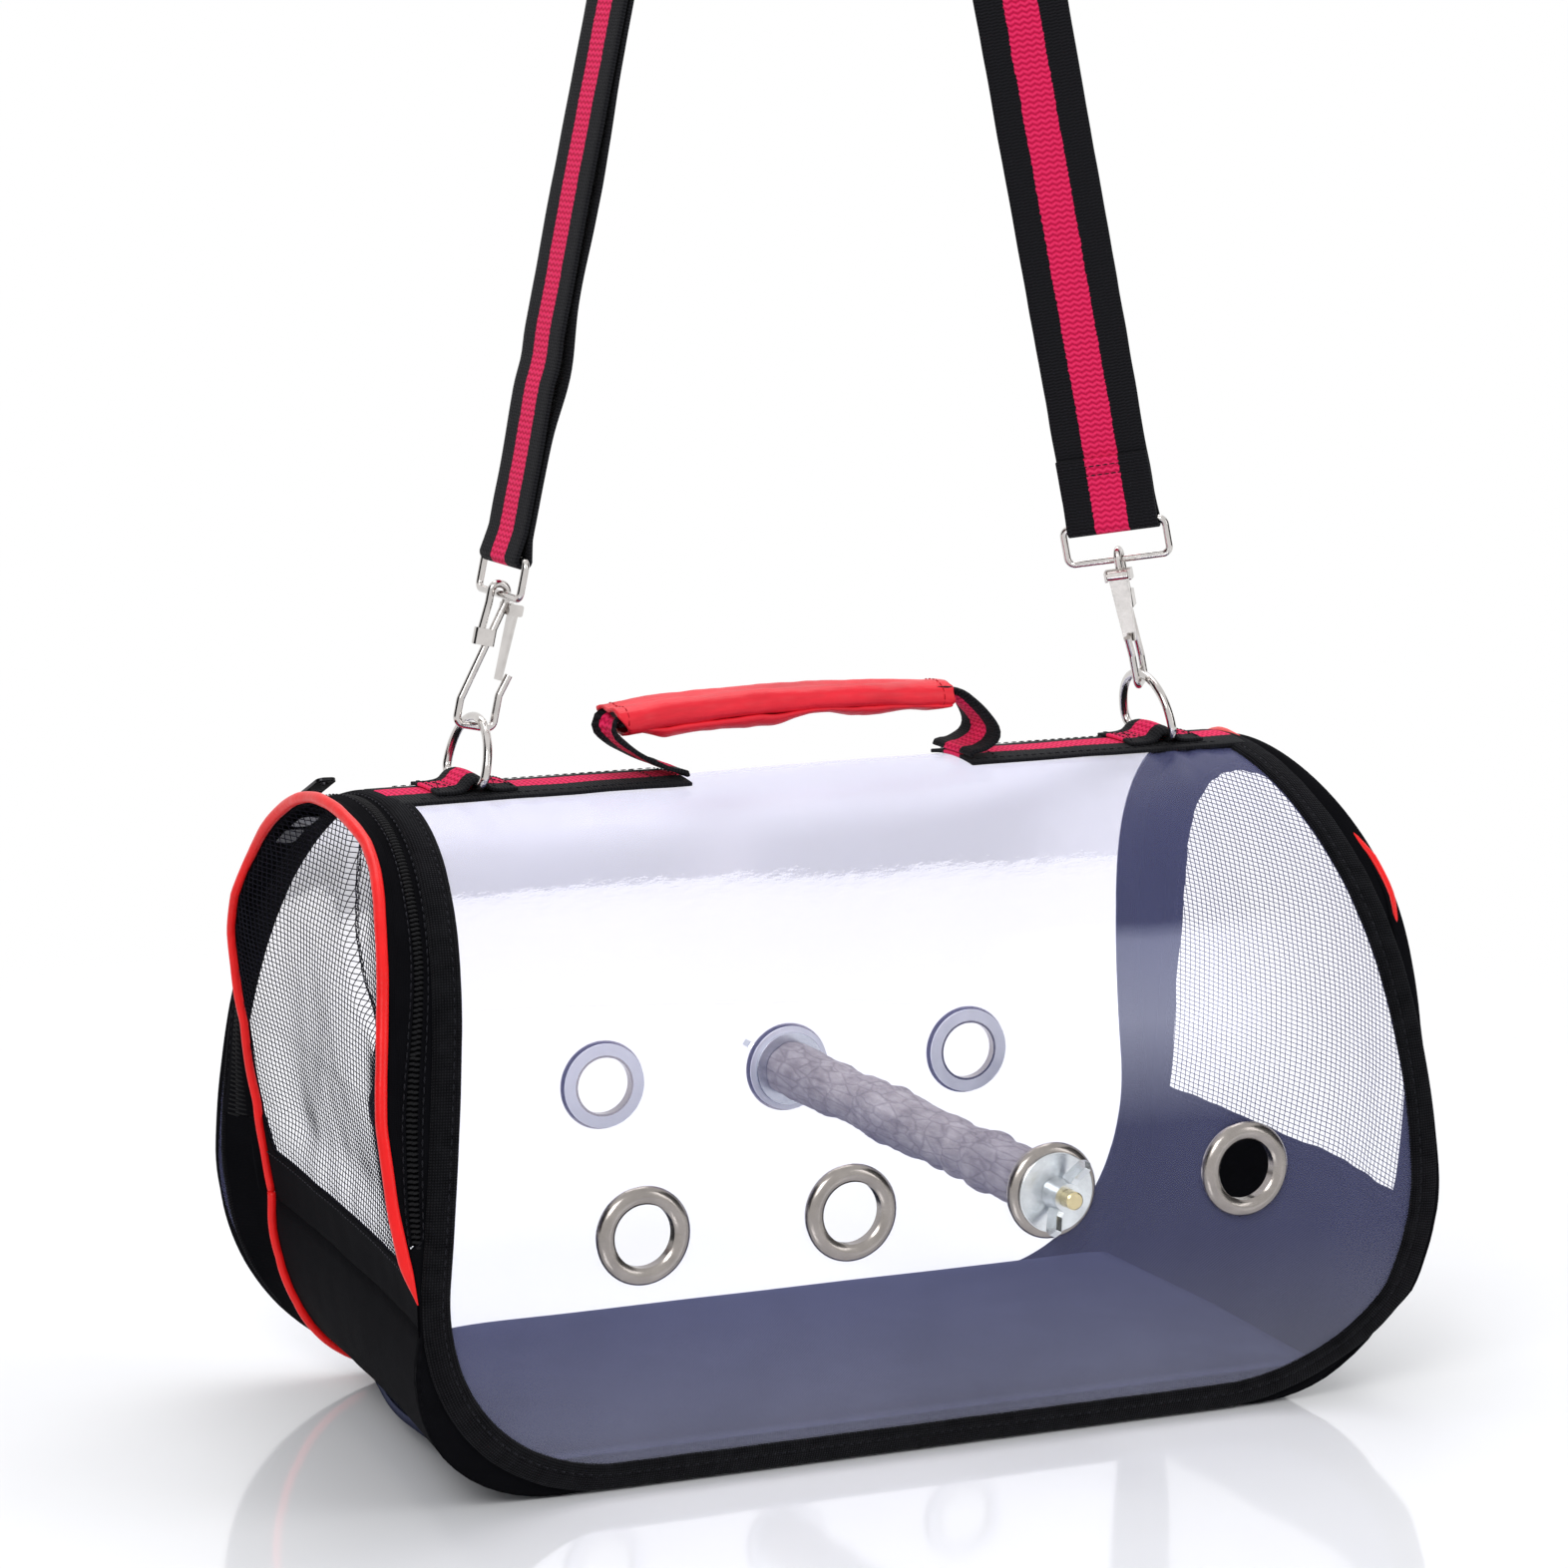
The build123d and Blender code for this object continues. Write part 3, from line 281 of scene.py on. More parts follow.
def join(parts):
    """Several shapes as one."""
    verts, faces, uv = [], [], []
    for v, f, u in parts:
        base = len(verts)
        verts += list(v)
        faces += [tuple(i + base for i in face) for face in f]
        uv += list(map(tuple, u))
    return verts, faces, uv


def resample(points, step):
    """Points a step apart along a smooth curve through the given ones."""
    P = [Vector(p) for p in points]
    dense = []
    for i in range(len(P) - 1):
        p1, p2 = P[i], P[i + 1]
        p0 = P[i - 1] if i else p1 * 2 - p2
        p3 = P[i + 2] if i + 2 < len(P) else p2 * 2 - p1
        k = max(2, int((p2 - p1).length / step * 4))
        for j in range(k):
            t = j / k
            dense.append(0.5 * ((2 * p1) + (p2 - p0) * t + (2 * p0 - 5 * p1 + 4 * p2 - p3) * t * t
                                + (3 * p1 - p0 - 3 * p2 + p3) * t**3))
    dense.append(P[-1])
    total = sum((b - a).length for a, b in zip(dense, dense[1:]))
    count = max(2, round(total / step))
    want = total / count
    out, run = [dense[0]], 0.0
    for a, b in zip(dense, dense[1:]):
        d = (b - a).length
        while run + d >= want * len(out) - 1e-9 and len(out) < count:
            out.append(a + (b - a) * ((want * len(out) - run) / d if d else 0))
        run += d
    return [tuple(p) for p in out + dense[-1:]]


def wobble(p, scale, seed):
    """Smooth repeatable noise from -1 to 1."""
    return noise.noise(Vector((p[0] / scale + seed, p[1] / scale - seed, p[2] / scale + 2 * seed)))


def lerp(a, b, t):
    return tuple(p + (q - p) * t for p, q in zip(a, b))


def steps(count, low=-1.0, high=1.0):
    """Evenly spaced numbers from low to high."""
    return [low + (high - low) * i / (count - 1) for i in range(count)]


def outward(shape, centre=MIDDLE):
    """The shape with its faces turned so that most of them look away from a centre."""
    verts, faces, uv = shape
    points = np.array(verts, float)
    total = 0.0
    for face in faces:
        p = points[list(face[:4])]
        total += float(np.dot(np.cross(p[1] - p[0], p[2] - p[0]), p.mean(axis=0) - np.array(centre)))
    return shape if total >= 0 else (verts, [tuple(reversed(f)) for f in faces], uv)


def solidify(obj, thickness, offset=-1.0):
    m = obj.modifiers.new("thickness", "SOLIDIFY")
    m.thickness, m.offset, m.use_even_offset = thickness * MM, offset, True


# -------------------------------- materials


class Wire:
    """An output in a node tree; its sums, differences and products are Math nodes."""

    def __init__(self, nodes, socket):
        self.nodes, self.socket = nodes, socket

    def math(self, operation, other=None, clamp=False):
        return self.nodes.add("Math", self, other, settings={"operation": operation, "use_clamp": clamp})

    def __add__(self, other):
        return self.math("ADD", other)

    def __sub__(self, other):
        return self.math("SUBTRACT", other)

    def __mul__(self, other):
        return self.math("MULTIPLY", other)


class Nodes:
    """The node tree of a material or world, with short ways to add nodes."""

    def __init__(self, name, data=bpy.data.materials, kind="Material"):
        self.owner = data.new(name)
        self.owner.use_nodes = True
        self.tree = self.owner.node_tree
        self.tree.nodes.clear()
        self.out = self.tree.nodes.new("ShaderNodeOutput" + kind)

    def feed(self, socket, value):
        if isinstance(value, Wire):
            self.tree.links.new(value.socket, socket)
        elif value is not None:
            socket.default_value = value

    def add(self, kind, *inputs, output=0, settings=None, **named):
        """A new node's output; its inputs, by place or by name, are wires or values."""
        node = self.tree.nodes.new("ShaderNode" + kind)
        for key, value in (settings or {}).items():
            setattr(node, key, value)
        for key, value in [*enumerate(inputs), *named.items()]:
            self.feed(node.inputs[key if isinstance(key, int) else key.replace("_", " ")], value)
        return Wire(self, node.outputs[output])

    def ramp(self, source, *stops):
        wire = self.add("ValToRGB", source)
        elements = wire.socket.node.color_ramp.elements
        while len(elements) < len(stops):
            elements.new(0.5)
        for item, (place, colour) in zip(elements, stops):
            item.position, item.color = place, (*colour, 1.0)
        return wire

    def mix(self, share, a, b, blend="MIX"):
        wire = self.add("Mix", output=2, settings={"data_type": "RGBA", "blend_type": blend})
        for place, value in ((0, share), (6, a), (7, b)):
            self.feed(wire.socket.node.inputs[place], value)
        return wire

    def split(self, vector):
        return [Wire(self, out) for out in self.add("SeparateXYZ", vector).socket.node.outputs]

    def coords(self, kind="UV"):
        return self.add("TexCoord", output=kind)

    def stretched(self, vector, stretch):
        return self.add("Mapping", Vector=vector, Scale=stretch) if stretch else vector

    def noise(self, vector, scale, detail=3.0, rough=0.5, stretch=None):
        vector = self.stretched(vector, stretch)
        return self.add("TexNoise", Vector=vector, Scale=scale, Detail=detail, Roughness=rough)

    def cells(self, vector, scale, stretch=None):
        vector = self.stretched(vector, stretch)
        return self.add("TexVoronoi", settings={"feature": "DISTANCE_TO_EDGE"}, Vector=vector, Scale=scale)

    def bump(self, height, strength, distance, normal=None):
        return self.add("Bump", Height=height, Normal=normal, Strength=strength, Distance=distance)

    def finish(self, shader):
        self.feed(self.out.inputs["Surface"], shader)
        return self.owner

    def principled(self, colour, normal, **values):
        return self.finish(self.add("BsdfPrincipled", Base_Color=colour, Normal=normal, **values))


BLANK, WHITE = (0.0, 0.0, 0.0, 1.0), (1.0, 1.0, 1.0, 1.0)
NONE, FULL = BLANK[:3], WHITE[:3]


def dim(colour, share):
    return tuple(c * share for c in colour)


def thread(value, pitch_m):
    """A smooth wave from 0 to 1 across threads of a pitch."""
    return (value * (2 * math.pi / pitch_m)).math("SINE") * 0.5 + 0.5


def cloth_material(name, dark, light, pitch, bump, rough, sheen, tint=(0.6, 0.6, 0.7, 1), fuzz=0.0,
                   coords="UV", blotch=60.0):
    """Woven cloth with threads a pitch apart, colour variation and a little wear."""
    n = Nodes(name)
    base = n.coords(coords)
    x, y, z = n.split(base)
    if coords == "Object":
        x, y = x + z * 0.35, y + z
    weave = thread(x, pitch * MM) * thread(y, pitch * MM)
    large = n.noise(base, blotch, 4.0, 0.6)
    small = n.noise(base, 2600.0, 2.0, 0.7)
    shade = weave * 0.45 + large * 0.55 + (small - 0.5) * (0.35 + fuzz)
    normal = n.bump(weave + small * (0.4 + fuzz), bump, pitch * MM * 0.35)
    normal = n.bump(large, 0.25, 0.0012, normal)
    return n.principled(n.ramp(shade, (0.15, dark), (0.85, light)), normal, Roughness=rough,
                        Sheen_Weight=sheen, Sheen_Roughness=0.4, Sheen_Tint=tint, Specular_IOR_Level=0.012)


def webbing_material(name, black, red, half):
    """Ribbed webbing: black edges and a crimson stripe of coarser knit along the middle. U runs across."""
    n = Nodes(name)
    base = n.coords()
    u, v, _ = n.split(base)
    ragged = n.noise(base, 900.0, 2.0, 0.6)
    stripe = (u.math("ABSOLUTE") + (ragged - 0.5) * 0.0014).math("LESS_THAN", half * MM)
    # small chevrons of the knit: the rows shift with the side of each wale
    wale = ((u * (1 / 0.0030)).math("FRACT") - 0.5).math("ABSOLUTE")
    knit, wales = thread(v + wale * 0.0016, 0.0019), thread(u, 0.0015)
    rib = thread(v + (u * 350.0).math("FRACT") * 0.0004, 0.0011)
    fibre = n.noise(base, 3200.0, 2.0, 0.7)
    # the crimson follows the knit: painted shade in its troughs and a painted highlight on its loops, mixed
    # with random fibre tone
    red_knit_with_painted_light = n.ramp(knit * 0.6 + fibre * 0.4, (0.1, dim(red, 0.5)), (0.5, red), (0.95, (0.92, 0.05, 0.17)))
    blacks = n.ramp(rib * 0.5 + fibre * 0.5, (0.1, black), (0.95, (0.017, 0.017, 0.020)))
    height = n.mix(stripe, rib * 0.5 + wales * 0.3, knit * 0.9 + wales * 0.4) + fibre * 0.4
    return n.principled(n.mix(stripe, blacks, red_knit_with_painted_light), n.bump(height, 0.7, 0.0004), Roughness=0.8,
                        Sheen_Weight=0.04, Sheen_Roughness=0.4, Specular_IOR_Level=0.08)


def metal_material(name, colour, rough, streak=0.0, scratch=0.2, dark=0.75):
    """Plated metal with faint handling marks."""
    n = Nodes(name)
    base = n.coords("Object")
    smudge = n.noise(base, 140.0, 5.0, 0.6)
    fine = n.noise(base, 1500.0, 3.0, 0.6, (1.0, 1.0, 6.0))
    tone = n.ramp(smudge, (0.25, dim(colour, dark)), (0.7, colour))
    normal = n.bump(smudge, 0.12, 0.0004, n.bump(fine, scratch, 0.00006))
    spread = smudge * (rough * 0.9) + rough * 0.5 + fine * streak
    return n.principled(tone, normal, Roughness=spread, Metallic=1.0)


def plastic_material(name, colour, rough, grain=0.15, shine=0.5):
    """Moulded plastic with fine grain."""
    n = Nodes(name)
    base = n.coords("Object")
    large = n.noise(base, 90.0, 4.0)
    tone = n.ramp(large, (0.3, dim(colour, 0.8)), (0.7, colour))
    normal = n.bump(n.noise(base, 1800.0, 2.0, 0.6), grain, 0.0001)
    return n.principled(tone, normal, Roughness=large * 0.15 + rough, Specular_IOR_Level=shine)


def piping_material(name, colour):
    """Bright extruded piping, slightly wavy, with a satin gloss."""
    n = Nodes(name)
    base = n.coords()
    large = n.noise(base, 55.0, 4.0, 0.6)
    tone = n.ramp(large, (0.25, dim(colour, 0.8)), (0.7, colour))
    normal = n.bump(n.noise(base, 1500.0, 3.0, 0.6), 0.25, 0.0002, n.bump(large, 0.5, 0.0016))
    return n.principled(tone, normal, Roughness=0.36, Coat_Weight=0.04, Coat_Roughness=0.25,
                        Specular_IOR_Level=0.22)


def clear_material(name):
    """Clear flexible sheet: nearly transparent, with a lavender haze, painted reflections and a soft gloss.
    """
    n = Nodes(name)
    base = n.coords()
    ripple = n.noise(base, 22.0, 3.0, 0.55, (1.0, 0.45, 1.0))
    crease = n.noise(base, 60.0, 4.0, 0.6, (1.0, 2.2, 1.0))
    normal = n.bump(ripple + crease * 0.25, 0.18, 0.004)
    x_m, y_m, z_m = n.split(n.coords("Object"))
    rise = z_m * (1 / 0.215)
    # painted reflection by height, over the sheet's own lavender tint: the see-through tint turns a little
    # lavender higher up, and the haze colour is painted paler at the foot, where the floor is mirrored, and
    # bluer above
    lilac_painted_reflection = n.ramp(rise, (0.45, (0.97, 0.97, 0.975)), (0.72, (0.965, 0.958, 0.970)))
    foot = n.ramp(rise, (0.03, (0.115, 0.118, 0.155)), (0.30, (0.058, 0.062, 0.125)),
                  (0.95, (0.060, 0.065, 0.145)))
    haze_with_painted_reflection = n.mix(ripple * 0.45 + 0.70, BLANK, foot)
    # a painted reflection of a softbox: a paler band across the front, above the perch
    painted_glare_band = n.ramp(rise + ripple * 0.02, (0.50, NONE), (0.66, (0.20, 0.205, 0.235)),
                  (0.775, (0.15, 0.155, 0.19)), (0.80, NONE))
    reach = n.ramp(x_m * 2.5 + 0.5, (0.55, NONE), (0.66, FULL), (0.75, FULL), (0.86, NONE))
    painted_glare = n.mix(reach * y_m.math("LESS_THAN", -0.03), BLANK, painted_glare_band)
    # the milky diffuse layer carries the painted reflections above
    milk_with_painted_reflection = n.add("BsdfDiffuse", Color=n.mix(1.0, haze_with_painted_reflection, painted_glare, "ADD"), Normal=normal, Roughness=0.6)
    gloss = n.add("BsdfGlossy", Color=(0.92, 0.91, 1.0, 1.0), Normal=normal, Roughness=0.30)
    body = n.add("AddShader", n.add("BsdfTransparent", Color=lilac_painted_reflection), milk_with_painted_reflection)
    return n.finish(n.add("MixShader", n.add("Fresnel", Normal=normal, IOR=1.42) * 0.42, body, gloss))


def leather_material(name, colour):
    """Grained synthetic leather with fine creases and a soft shine."""
    n = Nodes(name)
    base = n.coords()
    large = n.noise(base, 90.0, 4.0, 0.6, (1.0, 0.25, 1.0))
    fold = n.noise(base, 60.0, 3.0, 0.55, (2.4, 0.35, 1.0))
    tone = n.ramp(large, (0.2, dim(colour, 0.62)), (0.6, colour), (0.9, (0.9, 0.05, 0.06)))
    normal = n.bump(fold, 0.7, 0.0012, n.bump(n.cells(base, 1400.0), 0.25, 0.00015))
    return n.principled(tone, normal, Roughness=large * 0.2 + 0.36, Coat_Weight=0.03, Coat_Roughness=0.3,
                        Specular_IOR_Level=0.3)


def bark_material(name):
    """Dry grey-brown bark with lengthwise fissures and paler worn patches."""
    n = Nodes(name)
    base = n.coords("Object")
    grain = n.noise(base, 420.0, 5.0, 0.65, (1.0, 0.16, 1.0))
    patch = n.noise(base, 90.0, 5.0, 0.6)
    cracks = n.cells(base, 260.0, (1.0, 0.3, 1.0))
    tone = n.ramp(grain * 0.5 + patch * 0.5, (0.25, (0.16, 0.13, 0.115)), (0.5, (0.36, 0.325, 0.305)),
                  (0.75, (0.60, 0.56, 0.545)))
    dark = n.ramp(cracks, (0.0, (0.62, 0.60, 0.59)), (0.10, FULL))
    normal = n.bump(cracks, 0.5, 0.0008, n.bump(grain, 0.8, 0.0006))
    return n.principled(n.mix(0.8, tone, dark, "MULTIPLY"), normal, Roughness=0.88)


cloth_black = cloth_material("black woven cloth", (0.0022, 0.0022, 0.0028), (0.0065, 0.0065, 0.0080), 0.55,
                             0.4, 0.8, 0.01)
cloth_binding = cloth_material("black binding tape", (0.002, 0.002, 0.0024), (0.017, 0.017, 0.019), 0.9, 0.9,
                               0.92, 0.08, (0.6, 0.6, 0.65, 1), 0.3, blotch=150.0)
cloth_pad = cloth_material("floor pad cloth", (0.012, 0.013, 0.024), (0.045, 0.048, 0.080), 0.8, 0.5, 0.8,
                           0.2, (0.4, 0.45, 0.8, 1), 0.1)
mesh_thread = cloth_material("black mesh yarn", (0.004, 0.004, 0.007), (0.022, 0.022, 0.032), 0.4, 0.3, 0.6,
                             0.05, coords="Object")
webbing = webbing_material("striped webbing", (0.0025, 0.0025, 0.003), (0.84, 0.016, 0.100), 5.9)
nickel = metal_material("nickel plate", (0.66, 0.63, 0.61), 0.11)
dark_nickel = metal_material("eyelet nickel", (0.36, 0.33, 0.31), 0.22)
pale_zinc = metal_material("pale zinc", (0.86, 0.87, 0.93), 0.5, 0.05, 0.3, 0.9)
zinc = metal_material("bright zinc plate", (0.70, 0.73, 0.76), 0.2, 0.06, 0.4)
brass = metal_material("passivated thread", (0.72, 0.62, 0.38), 0.28)
black_metal = metal_material("black lacquered metal", (0.028, 0.028, 0.031), 0.3)
red_pipe = piping_material("red piping", (0.90, 0.010, 0.010))
red_leather = leather_material("red synthetic leather", (0.84, 0.016, 0.034))
clear = clear_material("clear sheet")
bark = bark_material("bark")
black_plastic = plastic_material("black moulded plastic", (0.008, 0.008, 0.009), 0.42, shine=0.25)
teeth_plastic = plastic_material("black zip coil", (0.006, 0.006, 0.007), 0.6, shine=0.15)
board_plastic = plastic_material("black fibre board", (0.020, 0.020, 0.022), 0.7, 0.4)
foam = plastic_material("grey foam cord", (0.05, 0.05, 0.05), 0.9, 0.8)
stitch_red = cloth_material("red stitching", (0.35, 0.005, 0.01), (0.75, 0.02, 0.04), 0.3, 0.5, 0.7, 0.2)
stitch_black = cloth_material("black stitching", (0.004, 0.004, 0.005), (0.03, 0.03, 0.035), 0.3, 0.6, 0.6,
                              0.2)


def cloth(name, rows, body, *replaces, slot="black_fabric", material=cloth_black, thickness=1.3,
          centre=MIDDLE, close_v=False):
    """A sheet through rows of points, its outer side out, with thickness inwards."""
    obj = make(name, outward(grid(rows, close_v=close_v), centre), body, slot, material, *replaces)
    solidify(obj, thickness)
    return obj


def stitches(path, length=2.4, pitch=3.6, radius=0.26):
    """Short raised threads along a path of points."""
    points = [Vector(p) for p in resample(path, pitch)]
    parts = []
    for a, b in zip(points, points[1:]):
        d, m = (b - a).normalized(), (a + b) / 2
        ends = [tuple(m - d * length / 2), tuple(m), tuple(m + d * length / 2)]
        parts.append(tube(ends, [radius * 0.5, radius, radius * 0.5], 5))
    return join(parts)


def add_stitches(name, paths, body, slot="black_fabric", material=stitch_black, **sizes):
    return make(name, join([stitches(p, **sizes) for p in paths]), body, slot, material)


# -------------------------------- clear sheet

EYELET_X = (-108.0, -36.0, 36.0, 108.0)
EYELET_HOLE = 13.2
RING_X = 126.9
SHEET_TURN = turn_at(3.2)


def sheet_wave(x, turn):
    """Outward swell of the clear sheet."""
    run, z = run_length(turn), arch(turn)[1]
    from_seam = seam_x(z) - abs(x)
    calm = smooth(0.0, 22.0, from_seam) * smooth(8.0, 30.0, z)
    calm *= smooth(17.0, 34.0, min(math.hypot(x - e, z - BULGE_Z) for e in EYELET_X))
    w = 0.9 * wobble((x, run, 0.0), 95.0, 3.1) + 0.12 * wobble((x, run, 0.0), 38.0, 8.7)
    warp = 1.1 * math.exp(-((x + 146.0) / 13.0) ** 2) * math.sin(run / 21.0)
    pucker = 0.0
    for ring in (-RING_X, RING_X):
        d = math.hypot(x - ring, abs(run) - 17.0)
        pucker += 0.55 * math.exp(-((d / 15.0) ** 2)) * math.cos((x - ring) * 0.55)
    return (w + warp) * calm - 0.4 + pucker * smooth(0.0, 10.0, from_seam)


def sheet_row(turn):
    half = seam_x(arch(turn)[1], 6.0)
    return [(x, *arch(turn, -sheet_wave(x, turn))) for x in (half * t for t in steps(121))]


SHEET_ROWS = 220
verts, faces, uv = outward(grid([sheet_row(t) for t in turns(-SHEET_TURN, SHEET_TURN, SHEET_ROWS)]))


def in_eyelet(face):
    x, y, z = (sum(verts[i][k] for i in face) / len(face) for k in range(3))
    return abs(y) > 90 and any(math.hypot(x - e, z - BULGE_Z) < EYELET_HOLE for e in EYELET_X)


make("clear sheet", (verts, [f for f in faces if not in_eyelet(f)], uv), "carrier", "clear_sheet", clear,
     "clear_panel")

# -------------------------------- binding tape round the clear sheet

CORNER_END = math.atan2(SEAM_TZ - SEAM_FZ, seam_x(SEAM_TZ + 0.001) - SEAM_FX)


def seam_station(kind, u, g):
    """(x, z) on the right half of the seam, grown by g: along the foot, round the corner or up the side."""
    if kind == 0:
        return SEAM_FX * u, SEAM_FLOOR - g
    if kind == 1:
        a = -math.pi / 2 + (CORNER_END + math.pi / 2) * u
        return SEAM_FX + (SEAM_FILLET + g) * math.cos(a), SEAM_FZ + (SEAM_FILLET + g) * math.sin(a)
    start = turn_at(SEAM_FZ + (SEAM_FILLET + g) * math.sin(CORNER_END))
    z = arch(start * (1 - u))[1]
    return seam_x(z, g), z


def binding_point(station, g, n, sx, sy):
    """A point g out from the seam and n off the arch, on one of the loop's quarters."""
    x, z = seam_station(*station, g)
    if sx < 0 and sy > 0:
        x -= table(PUSH_SEAM, z) * max(0.0, g / BIND)
    if sx > 0 and sy < 0:
        x += table(SWELL_RIGHT, z) * smooth(SEAM_FX - 25.0, SEAM_FX, x)
    at_ridge = station[0] == 2 and station[1] >= 1.0
    y, z = arch(0.0 if at_ridge else turn_at(z) * sy, -n)
    return sx * x, y, max(0.2, z)


BIND_SECTION = [(-0.1, -1.9), (-0.5, -0.4), (-0.3, 0.7), (0.5, 1.35), (1.8, 1.5), (2.5, 1.15), (3.2, 1.5),
                (5.2, 1.62), (7.6, 1.5), (8.7, 1.1), (9.25, 0.3), (9.2, -0.9), (8.6, -1.8), (4.5, -2.0)]


def binding_row(station, sx, sy):
    row = []
    for g, n in BIND_SECTION:
        p = binding_point(station, g, n, sx, sy)
        swell = 0.16 * wobble(p, 9.0, 2.0) + 0.10 * wobble(p, 3.0, 5.0)
        row.append(binding_point(station, g + swell, n + (swell if n > 0 else 0.0), sx, sy))
    return row


WALK_STEPS = (40, 44, 60)  # along the foot, round the corner and up the side
walk = [(kind, i / count) for kind, count in enumerate(WALK_STEPS) for i in range(count)] + [(2, 1.0)]
back = walk[-2::-1]
loop = [(s, 1, -1) for s in walk] + [(s, 1, 1) for s in back]
loop += [(s, -1, 1) for s in walk[1:]] + [(s, -1, -1) for s in back][:-1]
binding = make("binding tape", outward(grid([binding_row(*item) for item in loop], True, True)), "carrier",
               "binding", cloth_binding, "edge_binding")
soft = binding.modifiers.new("soft", "SUBSURF")
soft.levels = soft.render_levels = 1
add_stitches("binding stitches", [[binding_point(s, 2.5, 1.42, sx, sy) for s, sx, sy in loop]], "carrier",
             "binding", pitch=3.4, length=2.3)

# -------------------------------- right band, end panel, window

FLOOR_TURN = turn_at(0.3)


def span_rows(corner, f_low, f_high, end, count, seed, height, lift):
    """Rows of a band along the arch, between two fractions of its corner strip."""
    rows = []
    for turn in turns(-end, end, count):
        a, b = f_low(turn), f_high(turn)
        row = []
        for f in steps(9, a, b):
            swell = 0.6 + wobble((f * 9, *arch(turn)), 34.0, seed)
            puff = height * math.sin(math.pi * min(1.0, max(0.0, f))) * swell
            x, y, z = corner(turn, f, lift + puff)
            row.append((x, y, max(0.2, z)))
        rows.append(row)
    return rows


right_rows = span_rows(right_corner, lambda t: -0.12, lambda t: 1.0, FLOOR_TURN, 150, 4.0, 0.8, -0.15)
cloth("right band cloth", right_rows, "carrier", "right_band")


def half_y(z, inset=0.0):
    """Half width of the arch at a height."""
    return abs(arch(turn_at(z, inset), inset)[0])


def end_wave(y, z, seed, depth=1.2):
    """The slack of an end's cloth."""
    return depth * wobble((y, z, 0.0), 46.0, seed) + 0.35 * wobble((y, z, 0.0), 15.0, seed + 2)


def arch_depth(y, z):
    """How far inside the arch a point is."""
    if math.atan2(abs(y), z - CROWN_Z) < CROWN_SPAN:
        return CROWN_R - math.hypot(y, z - CROWN_Z)
    return SIDE_R - math.hypot(abs(y) + SIDE_A, z - BULGE_Z)


def front_share(y):
    """1 on the camera's side of the ridge, fading to 0 behind it."""
    return smooth(30.0, -5.0, y)


def right_point(y, z, inset=0.0):
    """A point on the right end; its front rim is dished so that the piping shows from the side."""
    edge = half_y(z) - abs(y)
    soft = smooth(0.0, 12.0, edge) * smooth(0.0, 10.0, z - FOLD_Z + 8)
    front = smooth(-25.0, -half_y(z), y) * table(PUSH_RIGHT, z)
    dish = 1.25 * table(TUCK_RIGHT, z) * front_share(y) * smooth(9.0, 2.5, arch_depth(y, z))
    return end_x(z, 1, inset) + soft * (end_wave(y, z, 6.0) - 0.8) - front - dish, y, z


WINDOW, WINDOW_Z = 13.0, 70.0
LOOP_ARCH, LOOP_FOOT = 120, 60


def window_loop(inset, low, wave=0.0):
    """Points round a window: over the arch from front to back, then back along its foot."""
    top = turn_at(max(low, 1.0), inset)
    pts = []
    for i, turn in enumerate(steps(LOOP_ARCH, -top, top)):
        y, z = arch(turn, inset + wave * wobble((i * 3.0, 0, 0), 9.0, 1.5))
        pts.append((y, max(low, z)))
    y0 = arch(top, inset)[0]
    for i in range(1, LOOP_FOOT):
        y = y0 - 2 * y0 * i / LOOP_FOOT
        pts.append((y, low + wave * wobble((y, 4.0, 0), 16.0, 2.5)))
    return pts


window_edges = list(zip(window_loop(0.0, FOLD_Z), window_loop(WINDOW, WINDOW_Z, 0.9)))
end_rows_right = [[right_point(*lerp(a, b, t)) for t in steps(7, 0.0)] for a, b in window_edges]
cloth("right end cloth", end_rows_right, "carrier", "right_end_panel", close_v=True)
hem = window_loop(WINDOW - 2.0, WINDOW_Z - 2.0)
for name, lift in (("window stitches", 0.3), ("window stitches inside", -1.5)):
    path = [(right_point(y, z)[0] + lift, y, z) for y, z in hem]
    add_stitches(name, [path + path[:1]], "carrier", pitch=3.2, length=2.1)


def net(name, place, inside, y_span, z_span, pitches, yarn, body, replaces):
    """Woven mesh: two sets of yarns that pass over and under each other, cut to an outline."""
    pitch_y, pitch_z = (p * 1.0 for p in pitches)
    (y_low, y_high), (z_low, z_high) = y_span, z_span
    cells = [[(i, j) for j in range(int((z_high - z_low) / pitch_z) + 1)]
             for i in range(int((y_high - y_low) / pitch_y) + 1)]
    where = {c: (y_low + c[0] * pitch_y, z_low + c[1] * pitch_z) for line in cells for c in line}
    spot = {c: place(*at) for c, at in where.items() if inside(*at)}
    parts = []
    for lines, lift in ((cells, yarn * 0.2), (zip(*cells), -yarn * 0.2)):
        for line in lines:
            for held, run in groupby(line, key=lambda c: c in spot):
                path = [(spot[c][0] + (lift if sum(c) % 2 else -lift), *spot[c][1:]) for c in run if held]
                if len(path) > 1:
                    parts.append(tube(path, yarn / 2, 4, cap=False, first=(1, 0, 0)))
    return make(name, join(parts), body, "mesh", mesh_thread, replaces)


def right_mesh_point(y, z):
    return right_point(y, z, 1.0)[0] - 0.8, y, z


def in_right_window(y, z):
    return (WINDOW_Z - 4 < z < RIDGE - WINDOW + 4 and abs(y) < half_y(z) - 9.45
            and abs(y) < half_y(min(RIDGE - WINDOW - 0.5, z), WINDOW) + 4.0)


net("right window net", right_mesh_point, in_right_window, (-96, 96), (WINDOW_Z - 3, RIDGE - WINDOW + 3),
    (3.5, 1.65), 0.30, "carrier", "right_end_mesh")

